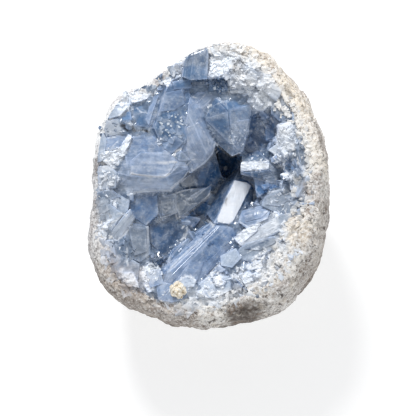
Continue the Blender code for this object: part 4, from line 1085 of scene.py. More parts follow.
# Many white lines along edges are partly frost and partly painted highlights, and the lines in the
# glossy near-white tone are painted highlights. The dark, void and hole lines are dark cracks with
# painted shade in the creases between crystals.
# tone, strength, half width in drawing steps, points of the line
LINES = (
    ("hole", 0.95, 1.5, (121.5,125), (124,128), (127,130.5)),
    ("hole", 0.95, 1.8, (132,127), (135,130.5)),
    ("hole", 0.9, 1.1, (137,131), (143,130), (149,132)),
    ("shine", 0.9, 1, (177,219), (184,214.5), (192,210), (200,203), (208,196), (211.5,191.5)),
    ("white", 0.8, 0.8, (173,194), (185,190.5), (196,188)),
    ("white", 0.75, 0.8, (174,202), (177,209), (179.5,214)),
    ("shine", 0.8, 1, (181.5,239), (183.5,236.5), (184,234)),
    ("white", 0.6, 0.7, (183,200), (190,204), (196,203)),
    ("void", 0.55, 1, (181,216), (190,212), (200,206), (207,200)),
    ("shine", 0.95, 1.3, (157,163.5), (169,162), (176.5,162)),
    ("shine", 0.55, 0.9, (146,163.5), (157,163.2)),
    ("shine", 0.9, 1.1, (131,173.5), (140,175), (150,176.3), (165,176.8), (169.5,173.5)),
    ("white", 0.5, 0.8, (156,175), (158,172), (171,170)),
    ("pale", 0.6, 0.8, (130,155), (140,150.5), (152,151)),
    ("blue", 0.6, 0.8, (132,164.8), (160,165.2), (174,163.8)),
    ("blue", 0.5, 0.7, (134,172), (155,173.3), (168,170.5)),
    ("white", 0.65, 1.4, (128,194.5), (140,191.6), (152,190.5), (171,190.5)),
    ("white", 0.8, 1.7, (172,188.5), (177,183.5), (184,178.5), (189,172)),
    ("dark", 0.9, 1.7, (117,189), (122,193.5), (126.5,197)),
    ("pale", 0.7, 1.2, (163,150), (168,154), (178,161), (188,168)),
    ("shine", 0.9, 1.3, (174,156), (175.5,151.5), (181,149)),
    ("white", 0.65, 0.8, (187,165), (192,160), (195,159.5)),
    ("pale", 0.85, 1, (165,91), (162,103), (160,113), (153,118), (150,129)),
    ("pale", 0.75, 0.8, (162,97), (159.5,110), (155,117), (153,128)),
    ("pale", 0.6, 1.3, (183,116), (187,125), (192,135), (200,150)),
    ("pale", 0.6, 0.8, (190,106), (198,100), (205,95)),
    ("pale", 0.8, 1.2, (200,119), (203,110), (208,104)), ("white", 0.8, 1.2, (208,107), (211,105)),
    ("white", 0.75, 1, (193.5,97), (196.5,98)),
    ("pale", 0.75, 1.6, (212,139), (211,147), (208,155), (204,163)),
    ("white", 0.55, 1, (214.5,144), (213,152), (207,160), (200,166), (192,171)),
    ("white", 0.75, 1.2, (216,143.5), (221,148.5), (228,155), (233,156.5), (240,153)),
    ("pale", 0.6, 1.2, (240,153), (244,147), (247,137), (249,126)),
    ("dark", 0.8, 1.4, (203,118), (210,130), (217,142)),
    ("white", 0.4, 0.9, (226,131), (230,139), (237,149)), ("pale", 0.45, 0.8, (193,58), (191,78)),
    ("pale", 0.5, 0.9, (207,54), (206,76)), ("pale", 0.6, 1.1, (184,60), (182,77)),
    ("dark", 0.75, 1, (211,79), (217,77), (223,76), (228,73), (231,68)),
    ("white", 0.8, 1.1, (229,92), (238,92.5), (246,92)), ("dark", 0.65, 0.8, (231,90), (245,89)),
    ("white", 0.85, 1.2, (242,82), (245,88), (249.5,96)), ("dark", 0.8, 1, (243.5,89), (248.5,97)),
    ("dark", 0.65, 0.8, (251,86), (257,88.5)), ("dark", 0.75, 0.8, (251,90.5), (259,91)),
    ("dark", 0.5, 0.7, (259,98), (264,103)), ("hole", 0.7, 1.2, (171,67), (166,75), (160,79)),
    ("umber", 0.5, 0.9, (121,108), (125,105)), ("umber", 0.45, 1, (140,91), (143,90)),
    ("white", 0.5, 0.8, (137,108), (141,112), (147,113)), ("white", 0.8, 1, (128,123), (132,124)),
    ("white", 0.6, 0.8, (112,147), (118,141)), ("white", 0.6, 0.8, (108,138), (115,137)),
    ("white", 0.6, 0.9, (262,122), (266,128)), ("white", 0.6, 0.8, (261,130), (265,135)),
    ("white", 0.7, 1, (271,118), (273,122)), ("white", 0.6, 0.8, (255,142), (257,146)),
    ("hole", 0.75, 1.2, (275,130), (276,135)), ("white", 0.7, 1, (270,150), (277,154), (283,158)),
    ("white", 0.75, 1.1, (282,167), (287,172), (291,177)),
    ("white", 0.8, 1, (266,160), (268.5,161)), ("pale", 0.65, 0.9, (262,178.5), (275,176)),
    ("white", 0.65, 0.9, (251,171), (252,177)),
    ("pale", 0.7, 1, (242,174), (256,179), (270,182), (281,183)),
    ("umber", 0.8, 1.1, (225,200), (226.5,203.5)), ("umber", 0.8, 1, (226,200), (228.5,197)),
    ("pale", 0.7, 0.8, (251,183), (256,191), (262,198.5)),
    ("pale", 0.55, 1, (258.5,197), (254,206)),
    ("white", 0.85, 1.4, (208,220.5), (211,222.5), (213.5,225.5)),
    ("pale", 0.4, 0.8, (218,152), (221,170), (222,178)),
    ("pale", 0.45, 0.9, (224,181), (233,173), (240,168)),
    ("white", 0.75, 1.3, (181,194.5), (188,199), (196,197)),
    ("white", 0.65, 1, (184,201), (190,205)),
    ("light_grey", 0.65, 1.7, (213,192), (205,200), (196,207), (183,218)),
    ("white", 0.45, 0.9, (196,197), (204,190), (211,185)),
    ("dark", 0.65, 1.2, (183,197.5), (189,196.5), (194,198)),
    ("light_grey", 0.65, 1.2, (176,191), (177,204), (176,217)),
    ("white", 0.9, 1.2, (187,228), (187,233), (184.5,238), (181,240)),
    ("white", 0.75, 1, (182,228.5), (184,226)),
    ("light_grey", 0.7, 1.2, (158,205), (163,204.5), (170,203), (176,206), (175,212), (168,216),
     (160,219), (158,211)),
    ("white", 0.7, 0.9, (163,209), (166,206.5), (170,208), (166,211)),
    ("pale", 0.5, 1, (144,198), (151,204), (146,207)),
    ("white", 0.75, 1.2, (101,230), (108,228), (113,222), (119,218), (122,216)),
    ("white", 0.8, 1.1, (118,213.5), (127,214.5)),
    ("white", 0.6, 1.2, (117,240), (124,235), (128,230), (134,219)),
    ("white", 0.6, 1, (127,248), (127,256), (127.5,264)),
    ("light_grey", 0.7, 1.5, (148,222), (148,240), (147,258)),
    ("white", 0.5, 1.1, (214,224.5), (203,237), (190,249), (178,260), (168,271)),
    ("pale", 0.75, 1.1, (222,231), (206,245), (195,256), (184,266)),
    ("white", 0.65, 0.8, (207,277), (213,270), (220,263)),
    ("white", 0.6, 0.7, (210,278), (216,270)), ("pale", 0.65, 1, (187,233), (192,225), (195.5,224)),
    ("pale", 0.75, 1.2, (183,243), (176,250), (171,257), (168,265)),
    ("white", 0.75, 1.1, (179.5,282), (182,278), (187,276), (193,278), (196,282)),
    ("white", 0.65, 0.9, (191,287), (196,282)),
    ("white", 0.7, 1.2, (238,233), (250,227), (262,222)),
    ("white", 0.6, 1.2, (262,236), (274,232), (284,228)),
    ("dark", 0.8, 1.1, (249,249.5), (258,244.5), (267,240.5)),
    ("white", 0.75, 0.9, (250,251), (259,246.5)), ("white", 0.6, 1, (246,240), (240,246)),
    ("dark", 0.65, 0.9, (259,256), (264,256), (268,258)),
    ("dark", 0.75, 1.2, (243,262), (250,261.5), (252,265)),
    ("pale", 0.65, 0.8, (243,213), (255,210), (262,210)),
    ("white", 0.55, 0.8, (246,216), (258,212.5), (268,212)),
    ("white", 0.6, 0.9, (240,222), (247,226)), ("white", 0.7, 2.6, (273,214), (276,226)),
    ("white", 0.55, 1, (268,193), (280,189.5), (288,190.5), (292,195)),
    ("umber", 0.6, 1.4, (309,108), (312,121)), ("umber", 0.4, 1.6, (318,125), (321,142)),
    ("umber", 0.5, 1.4, (303,192), (311,195)), ("umber", 0.45, 1.2, (321,170), (322,178)),
    ("void", 0.85, 0.9, (236,279.5), (240,284), (247,290)), ("void", 0.55, 1, (205,292), (210,298)),
)
print(len(PATCHES), "patches and", len(LINES), "lines")

# %% How a mark weighs on a point
BREAK_UP = 0.30        # how much noise eats into a mark


def seen_grid(corners):
    """Drawing places of many points at once, with the rotation and scale of front_view."""
    spread = VIEW_DISTANCE / (VIEW_DISTANCE - corners[:, 2]) / VIEW_STEP
    x = VIEW_CENTRE[0] + corners[:, 0] * spread
    y = VIEW_CENTRE[1] - (corners[:, 1] - SIGHT_Y) * spread
    return numpy.stack((x, y), axis=1)


def away_from_line(spots, points):
    """Distance of every spot from a line of several points, in drawing steps."""
    nearest = numpy.full(len(spots), 1e9)
    for first, second in zip(points, points[1:]):
        first, way = numpy.array(first), numpy.subtract(second, first)
        share = numpy.clip((spots - first) @ way / (way @ way), 0, 1)
        gap = numpy.linalg.norm(spots - first - share[:, None] * way, axis=1)
        nearest = numpy.minimum(nearest, gap)
    return nearest


def is_inside(spots, points):
    inside = numpy.zeros(len(spots), dtype=bool)
    for (x0, y0), (x1, y1) in zip(points, points[1:] + points[:1]):
        crossed = (spots[:, 1] < y0) != (spots[:, 1] < y1)
        with numpy.errstate(divide="ignore", invalid="ignore"):
            where = x0 + (spots[:, 1] - y0) / (y1 - y0) * (x1 - x0)
        inside ^= crossed & (spots[:, 0] < where)
    return inside


def soft_step(value):
    value = numpy.clip(value, 0, 1)
    return value * value * (3 - 2 * value)


def marked(corners, colour, frost):
    """Lays all patches and then all lines over the points' colour and frost."""
    spots = seen_grid(corners)
    rough = numpy.array([noise.noise(Vector(corner) / (0.8 * MM)) for corner in corners])
    fine = numpy.array([noise.noise(Vector(corner) / (0.35 * MM)) for corner in corners])
    for kind, strength, width, *points in PATCHES + LINES:
        tone, tone_frost = TONES[kind]
        if (kind, strength, width, *points) in PATCHES:
            edge = away_from_line(spots, points + points[:1])
            edge[is_inside(spots, points)] *= -1
            weight = soft_step(0.5 - (edge + rough * (1 + width * 0.5)) / (2 * width))
            weight *= 1 - BREAK_UP * soft_step(0.5 + 1.5 * rough)
        else:
            weight = soft_step(1.6 - 1.4 * away_from_line(spots, points) / width)
            weight *= 1 - BREAK_UP * soft_step(0.5 + 2 * fine)
        weight = (strength * weight)[:, None]
        colour = colour + (numpy.array(tone) - colour) * weight
        frost = frost + (tone_frost - frost) * weight[:, 0]
    return colour, frost


# %% [markdown]
# ## One crust
#
# Crystals that have grown together are one solid, so everything is joined by a Boolean union.
# The exact solver leaves open edges on this many blocks, and the manifold solver doesn't. The
# faces that show are then divided until they can carry the marks, and where a surface is
# frosted its points are moved a little, like sugar. The chips are joined in the same way but
# stay a mesh of their own, because one mesh for both would be too heavy.

# %% Join the blocks
def to_object(mesh, name):
    data = bpy.data.meshes.new(name)
    mesh.to_mesh(data)
    mesh.free()
    item = bpy.data.objects.new(name, data)
    bpy.context.scene.collection.objects.link(item)
    return item


def join_blocks(item, blocks, operation="UNION"):
    group = bpy.data.collections.new("blocks")
    for block in blocks:
        group.objects.link(block)
    change = item.modifiers.new("join", "BOOLEAN")
    change.operation = operation
    change.solver = "MANIFOLD"
    change.operand_type = "COLLECTION"
    change.collection = group
    depsgraph = bpy.context.evaluated_depsgraph_get()
    item.data = bpy.data.meshes.new_from_object(item.evaluated_get(depsgraph))
    item.modifiers.clear()
    for block in blocks:
        bpy.data.objects.remove(block, do_unlink=True)
    bpy.data.collections.remove(group)


def room_mesh():
    """The room that crystals may fill: the hollow, and the air above the rock."""
    above = 25.0 * MM
    cover = 1.6 * MM
    tuck = 0.25 * MM
    edge = ring(lambda a: lip_inner(a) + cover, lambda a: rim_height(a) + above)
    foot = ring(lambda a: lip_inner(a) + cover, lambda a: rim_height(a) - tuck)
    bowl = hollow_rings(-tuck, FLOOR_DEPTH + tuck)
    for corner in bowl[0]:
        corner.z -= tuck
    return skin([edge, foot] + bowl, first_pole=Vector((0.0, 0.0, RIM_RISE + above)),
                last_pole=Vector((0.0, 0.0, -FLOOR_DEPTH - tuck)))


lining = (lining_mesh(), "smoky", Vector((0.0, 1.0, 0.0)))
sources = [lining] + pieces + over_edge + chips
crust = to_object(sources[0][0].copy(), "celestite_crust")
join_blocks(crust, [to_object(mesh.copy(), "block") for mesh, *rest in pieces])
join_blocks(crust, [to_object(room_mesh(), "room")], "INTERSECT")
join_blocks(crust, [to_object(mesh.copy(), "block") for mesh, *rest in over_edge])
flakes = to_object(chips[0][0].copy(), "crystal_chips")
join_blocks(flakes, [to_object(mesh.copy(), "chip") for mesh, *rest in chips[1:]])
for item in (crust, flakes):
    print(item.name, "has", len(item.data.polygons), "faces after the union")

# %% Divide the faces that show
FROSTED_EDGE = 0.36 * MM
GLASSY_EDGE = 0.72 * MM
MARK_EDGE = 0.17 * MM    # near a drawn line, which has to be sharp
MAP_STEP = 0.5           # size of a cell in the map of marks, in drawing steps
MAP_SIZE = 850
FACE_LIMIT = 197000
LIGHT_FADE = (0.72, 1.06)      # painted shading: brightness of the shaded and of the lit end of a crystal
EDGE_SHINE = 0.60        # how far a worn edge is painted pale: partly wear, partly a painted highlight


def source_tree():
    """A search tree over all blocks, with each face's block and whether it is a worn edge."""
    corners, faces, owner, worn = [], [], [], []
    for number, (mesh, finish, lines) in enumerate(sources):
        start = len(corners)
        mesh.verts.index_update()
        corners.extend(vertex.co.copy() for vertex in mesh.verts)
        layer = mesh.faces.layers.int.get("worn")
        for face in mesh.faces:
            faces.append([start + vertex.index for vertex in face.verts])
            owner.append(number)
            worn.append(face[layer] if layer else 0)
    return BVHTree.FromPolygons(corners, faces), owner, worn


def map_of_marks():
    """True in the cells near a drawn line or near the outline of a sharp patch."""
    cells = numpy.zeros((MAP_SIZE, MAP_SIZE), dtype=bool)
    traces = [points + points[:1] for kind, strength, width, *points in PATCHES if width <= 1]
    traces += [points for kind, strength, width, *points in LINES]
    for points in traces:
        for first, second in zip(points, points[1:]):
            count = int(math.dist(first, second) / MAP_STEP) + 2
            for share in numpy.linspace(0, 1, count):
                x, y = (int((a + (b - a) * share) / MAP_STEP) for a, b in zip(first, second))
                cells[y - 2:y + 3, x - 2:x + 3] = True
    return cells


def divide(item, rounds):
    """Splits long edges of the faces that look to the front, the most needed ones first."""
    tree, owner, worn = source_tree()
    near_marks = map_of_marks()
    mesh = bmesh.new()
    mesh.from_mesh(item.data)
    bmesh.ops.triangulate(mesh, faces=mesh.faces)
    mark = mesh.faces.layers.int.new("source")
    edge_mark = mesh.faces.layers.int.new("edge")
    for face in mesh.faces:
        found = tree.find_nearest(face.calc_center_median())[2]
        face[mark] = owner[found]
        face[edge_mark] = worn[found]
    for turn in range(rounds):
        needed = []
        for edge in mesh.edges:
            faces = edge.link_faces
            if max(face.normal.z for face in faces) < 0.05:
                continue
            if (edge.verts[0].co.z + edge.verts[1].co.z) / 2 < -FLOOR_DEPTH * 0.8:
                continue
            spot = front_view((edge.verts[0].co + edge.verts[1].co) / 2)
            frosted = any(FINISHES[sources[face[mark]][1]][1] > 0.3 for face in faces)
            longest = FROSTED_EDGE if frosted else GLASSY_EDGE
            if near_marks[int(spot[1] / MAP_STEP), int(spot[0] / MAP_STEP)]:
                longest = MARK_EDGE
            if edge.calc_length() > longest * 1.35:
                needed.append((edge.calc_length() / longest, edge.index, edge))
        room = max(0, (FACE_LIMIT - len(mesh.faces)) // 2)
        long_edges = [edge for share, index, edge in sorted(needed, reverse=True)[:room]]
        if len(long_edges) < 100:
            break
        bmesh.ops.subdivide_edges(mesh, edges=long_edges, cuts=1)
        bmesh.ops.triangulate(mesh, faces=[face for face in mesh.faces if len(face.verts) > 3])
    mesh.to_mesh(item.data)
    mesh.free()
    print(item.name, "was" if item.data.validate() else "wasn't", "repaired")


for item, rounds in ((crust, 6), (flakes, 1)):
    divide(item, rounds)
    print(item.name, "has", len(item.data.polygons), "faces after dividing")

# %% Colour, frost and clarity of the crust
def read_points(data):
    flat = numpy.empty(len(data.vertices) * 3)
    data.vertices.foreach_get("co", flat)
    return flat.reshape(-1, 3)


def darkened(corners):
    """Share of light that reaches a point: little comes down into the void."""
    void = numpy.array(seen_at(*VOID_PLACE))
    away = numpy.linalg.norm((corners - void) / (9 * MM, 9 * MM, 7 * MM), axis=1)
    return 0.18 + 0.82 * soft_step((away - 0.6) / 1.3)


def light_fade_of(mesh, dice):
    """Painted shading: a way from shade to light across a block, with the offset and the share."""
    way = Vector((dice.uniform(-0.6, 0.6), dice.uniform(-0.2, 1.0), dice.uniform(0.3, 1.0)))
    way.normalize()
    reach = [vertex.co.dot(way) for vertex in mesh.verts if vertex.co.z > -4 * MM]
    low, high = (min(reach), max(reach)) if reach else (0.0, 1.0)
    return way, low, max(high - low, MM)


def paint_crust(item):
    data = item.data
    corners = read_points(data)
    marks = numpy.empty(len(data.polygons), dtype=numpy.int32)
    data.attributes["source"].data.foreach_get("value", marks)
    worn = numpy.empty(len(data.polygons), dtype=numpy.int32)
    data.attributes["edge"].data.foreach_get("value", worn)
    dice = random.Random(41)
    shade = [dice.uniform(0.88, 1.10) for source in sources]
    light_fades = [light_fade_of(source[0], dice) for source in sources]
    colour = numpy.zeros((len(corners), 3))
    frost = numpy.zeros(len(corners))
    clear = numpy.zeros(len(corners))
    count = numpy.zeros(len(corners))
    turned = TO_WORLD.to_3x3()
    lines = data.attributes.new("lines", "FLOAT_VECTOR", "FACE")
    for face, number, is_worn_and_highlit in zip(data.polygons, marks, worn):
        mesh, finish, direction = sources[number]
        tone, tone_frost, tone_clear = FINISHES[finish]
        points = list(face.vertices)
        # Painted shading: each block is darker towards its root and lighter up and out of the
        # hollow.
        way, low, reach = light_fades[number]
        share = min(1.0, max(0.0, (face.center.dot(way) - low) / reach))
        tone = numpy.array(tone) * shade[number] * (LIGHT_FADE[0] + (LIGHT_FADE[1] - LIGHT_FADE[0]) * share)
        # Worn edges are painted pale: partly the whitened wear of an edge, partly a painted
        # highlight along it.
        if is_worn_and_highlit:
            tone = tone + (numpy.array(TONES["pale"][0]) * 1.5 - tone) * EDGE_SHINE
        colour[points] += tone
        frost[points] += tone_frost
        clear[points] += tone_clear
        count[points] += 1
        lines.data[face.index].vector = turned @ direction
    colour, frost, clear = colour / count[:, None], frost / count, clear / count
    colour, frost = marked(corners, colour * darkened(corners)[:, None], frost)
    clear *= 1 - frost
    return colour, frost, clear


def store(data, name, values):
    if values.ndim == 2:
        layer = data.attributes.new(name, "FLOAT_COLOR", "POINT")
        whole = numpy.concatenate((values, numpy.ones((len(values), 1))), axis=1)
        layer.data.foreach_set("color", whole.ravel())
    else:
        layer = data.attributes.new(name, "FLOAT", "POINT")
        layer.data.foreach_set("value", values)


def sugar(item, frost, depth, scale):
    """Moves frosted points in and out along their normals."""
    corners = read_points(item.data)
    normals = numpy.empty(corners.size)
    item.data.vertices.foreach_get("normal", normals)
    rise = numpy.zeros(len(corners))
    for number in numpy.flatnonzero(frost > 0.3):
        place = Vector(corners[number]) / (scale * MM)
        rise[number] = noise.cell(place) - 0.5 + noise.noise(place * 1.3)
    rise *= depth * MM * numpy.clip((frost - 0.3) * 2, 0, 1)
    corners += normals.reshape(-1, 3) * rise[:, None]
    item.data.vertices.foreach_set("co", corners.ravel())


for item in (crust, flakes):
    colour, frost, clear = paint_crust(item)
    sugar(item, frost, 0.18, 0.6)
    store(item.data, "tint", colour)
    store(item.data, "frost", frost)
    store(item.data, "clarity", clear)
    item.data.transform(TO_WORLD)
    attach(item, "root")
    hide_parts("crystal_crust")

# %% [markdown]
# ## The rock
#
# The rind is a fine-grained rock, worn round outside and broken at the lip. Its shape comes
# from the same rings as the solid, only with many more of them. Noise at several scales then
# moves each point along the line from the stone's middle: broad swells, knobs, grains, and
# sharp little pits. Below the flat spot every point is pressed up to the level of the table.

# %% The rock shell as fine rings
ROCK_SEGMENTS = 540
LIP_STEPS = 5
SHOULDER_STEPS = 40
BACK_STEPS = 118
HOLLOW_STEPS = 8
REST_LEVEL = 0.0


def swell(point, amount, scale, seed):
    """The slow lumps that the solid has too."""
    place = point / (scale * MM) + Vector((seed, 0.0, 0.0))
    return amount * MM * (noise.noise(place) + 0.5 * noise.noise(place * 2.3))


def grain_relief(point):
    """Knobs, grains and pits of the rock's surface, in metres."""
    place = point / MM
    knobs = 0.30 * noise.noise(place * 0.42)
    grains = 0.16 * noise.noise(place * 1.1) + 0.11 * noise.noise(place * 2.4)
    beds = Vector((place.x, place.y, place.z * 1.8)) * 0.9
    grains -= 0.9 * max(0.0, noise.noise(beds) - 0.22)
    near = noise.voronoi(place * 0.75)[0]
    pit = max(0.0, 0.35 - near[0]) * 0.9
    seam = max(0.0, 0.12 - (near[1] - near[0])) * 1.6
    return (knobs + grains - pit - seam) * MM


def rock_rings():
    angles = [math.tau * step / ROCK_SEGMENTS for step in range(ROCK_SEGMENTS)]
    facts = [(a, girdle_radius(a), lip_outer(a), lip_inner(a), rim_height(a)) for a in angles]
    mean = sum(GIRDLE_MM) / len(GIRDLE_MM) * MM
    rings = []

    def add(place, relief):
        corners = []
        for fact in facts:
            radius, height, lumps = place(*fact[1:])
            point = Vector((radius * math.cos(fact[0]), radius * math.sin(fact[0]), height))
            way = point.normalized()
            rise = sum(swell(point, *lump) for lump in lumps)
            rise += relief * grain_relief(point)
            corners.append(point + way * rise)
        rings.append(corners)

    for step in range(HOLLOW_STEPS, 0, -1):
        turn = math.pi / 2 * step / (HOLLOW_STEPS + 1)
        add(lambda own, outer, inner, rim, turn=turn: (
            inner * math.cos(turn) ** 0.85,
            rim - (rim + FLOOR_DEPTH) * math.sin(turn) ** 0.95, ()), 0.0)
    for step in range(LIP_STEPS):
        share = step / (LIP_STEPS - 1)
        add(lambda own, outer, inner, rim, share=share: (
            inner + (outer - inner) * share, rim, ()), 1.5)
    for step in range(1, SHOULDER_STEPS + 1):
        turn = math.pi / 2 * (1 - step / SHOULDER_STEPS)
        fade = math.cos(turn) * (0.8 - 0.45 * (step / SHOULDER_STEPS) ** 6)
        add(lambda own, outer, inner, rim, turn=turn, fade=fade: (
            outer + (own - outer) * math.cos(turn) ** 0.8,
            rim * math.sin(turn) ** 0.8, ((fade, 5.5, 2.0),)), 1.5 - 0.5 * step / SHOULDER_STEPS)
    for step in range(1, BACK_STEPS):
        turn = math.pi / 2 * step / BACK_STEPS
        even = 0.7 * math.sin(turn)
        grow = min(1.0, step / (BACK_STEPS * 0.1))
        add(lambda own, outer, inner, rim, turn=turn, even=even, grow=grow: (
            (own + (mean - own) * even) * math.cos(turn) ** 0.93,
            -BACK_DEPTH * math.sin(turn) ** 0.97,
            ((1.2 * grow, 9.0, 5.0), (0.5 * grow, 3.5, 1.0))), 1.0)
    return rings


rock_mesh = skin(rock_rings(), first_pole=Vector((0.0, 0.0, -FLOOR_DEPTH)),
                 last_pole=Vector((0.0, 0.0, -BACK_DEPTH)))
rock = to_object(rock_mesh, "rock_rind")

ICY = (0.74, 0.78, 0.84)
BACK_SHADE = 0.16    # how much darker the back is, on the far side from the opening


def paint_rock(item):
    """Broad zones by height and angle, with painted shade on the lower end, and the drawn marks
    near the rim.
    """
    corners = read_points(item.data)
    start = numpy.tile(numpy.array(TONES["chalk"][0]), (len(corners), 1))
    angle = numpy.arctan2(corners[:, 1], corners[:, 0])
    fall = soft_step((1.0 * RIM_RISE - corners[:, 2]) / (0.8 * RIM_RISE))
    lower_end = soft_step(0.30 - 1.3 * numpy.sin(angle))
    back = soft_step((corners[:, 2] + 12 * MM) / (10 * MM))
    # Painted shade: the rock is darkened down the shoulder and most at the lower end, where its
    # surfaces turn away from the light.
    bottom_shade = (0.05 + 0.80 * lower_end * back) * fall + 0.12 * lower_end * back
    start += (numpy.array(TONES["umber"][0]) * 0.8 - start) * bottom_shade[:, None]
    icy = soft_step(2.2 * numpy.cos(angle - math.radians(152)) - 0.6)
    icy *= soft_step((corners[:, 2] + 4 * MM) / (8 * MM))
    start += (numpy.array(ICY) - start) * 0.8 * icy[:, None]
    start *= 1 - BACK_SHADE * soft_step((-corners[:, 2] - 6 * MM) / (10 * MM))[:, None]
    colour, frost = marked(corners, start, numpy.ones(len(corners)))
    near_rim = soft_step((corners[:, 2] + 8 * MM) / (7 * MM))[:, None]
    store(item.data, "tint", start + (colour - start) * near_rim)
    fewer_grains = numpy.clip(3.5 * (1 - frost), 0, 0.6)
    store(item.data, "warmth", (1 - 0.85 * icy) * (1 - fewer_grains))


paint_rock(rock)
rock.data.transform(TO_WORLD)
lowered = read_points(rock.data)
lowered[:, 2] = numpy.maximum(lowered[:, 2], REST_LEVEL)
rock.data.vertices.foreach_set("co", lowered.ravel())
rock.data.shade_smooth()
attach(rock, "root")
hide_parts("rock_shell")
print("rock:", len(rock.data.polygons), "faces")

# %% [markdown]
# ## The cream grain
#
# One grain of another mineral is stuck on the lower crystals. It is a ball pressed out of shape
# by noise, with a few chipped corners.

# %% The grain
GRAIN_PLACE = (178, 290, 10.9)
GRAIN_RADII = (1.75 * MM, 1.95 * MM, 1.3 * MM)


def grain_mesh():
    mesh = bmesh.new()
    bmesh.ops.create_icosphere(mesh, subdivisions=5, radius=1.0)
    middle = seen_at(*GRAIN_PLACE)
    for vertex in mesh.verts:
        way = vertex.co.normalized()
        bulge = 1 + 0.3 * noise.noise(way * 1.7 + Vector((8.0, 0.0, 0.0)))
        bulge += 0.16 * (noise.cell(way * 2.6) - 0.5) + 0.07 * noise.noise(way * 7)
        vertex.co = middle + Vector([a * r * bulge for a, r in zip(way, GRAIN_RADII)])
    return mesh


grain = to_object(grain_mesh(), "ochre_grain")
grain.data.transform(TO_WORLD)
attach(grain, "root")
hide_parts("cream_grain")

# %% [markdown]
# ## Materials
#
# Celestite is clear, so its shader lets light through and absorbs a little red on the way. The
# colour that is stored on each face stands for what the crystal holds: milk, clay or depth, and
# it carries painted shade and painted highlights too. Frost makes it rough and closed. The rock
# mixes chalky white, cream, grey and brown by noise over its stored colour, which has painted
# shade on the lower end.

# %% Small helpers for node materials
def new_material(name):
    material = bpy.data.materials.new(name)
    material.use_nodes = True
    tree_of_nodes = material.node_tree
    shader = tree_of_nodes.nodes["Principled BSDF"]
    return material, tree_of_nodes, shader


def add_node(tree_of_nodes, kind, inputs=None, **settings):
    node = tree_of_nodes.nodes.new(kind)
    for key, value in settings.items():
        setattr(node, key, value)
    for key, value in (inputs or {}).items():
        if isinstance(value, bpy.types.NodeSocket):
            tree_of_nodes.links.new(value, node.inputs[key])
        else:
            node.inputs[key].default_value = value
    return node


def painted(tree_of_nodes, name, kind="Fac"):
    """What is stored on the mesh under a name."""
    return add_node(tree_of_nodes, "ShaderNodeAttribute", attribute_name=name).outputs[kind]


def vector_math(tree_of_nodes, kind, inputs, result="Vector"):
    return add_node(tree_of_nodes, "ShaderNodeVectorMath", inputs, operation=kind).outputs[result]


def ramp(tree_of_nodes, factor, stops):
    node = add_node(tree_of_nodes, "ShaderNodeValToRGB", {"Fac": factor})
    points = node.color_ramp.elements
    while len(points) < len(stops):
        points.new(1.0)
    for point, (place, colour) in zip(points, stops):
        point.position = place
        point.color = (*colour, 1.0)
    return node.outputs["Color"]


def mix_colours(tree_of_nodes, factor, first, second, kind="MIX"):
    node = add_node(tree_of_nodes, "ShaderNodeMix", data_type="RGBA", blend_type=kind)
    for key, value in ((0, factor), (6, first), (7, second)):
        if isinstance(value, bpy.types.NodeSocket):
            tree_of_nodes.links.new(value, node.inputs[key])
        elif key == 0:
            node.inputs[key].default_value = value
        else:
            node.inputs[key].default_value = (*value, 1.0)
    return node.outputs[2]


def number(tree_of_nodes, kind, first, second):
    node = add_node(tree_of_nodes, "ShaderNodeMath", {0: first, 1: second}, operation=kind)
    return node.outputs[0]


def noise_of(tree_of_nodes, place, scale, detail=4.0, rough=0.55):
    return add_node(tree_of_nodes, "ShaderNodeTexNoise",
                    {"Vector": place, "Scale": scale, "Detail": detail,
                     "Roughness": rough}).outputs["Fac"]


# %% Celestite
CELESTITE_IOR = 1.63
ABSORBED = (0.52, 0.68, 0.88, 1.0)
ABSORPTION = 90.0


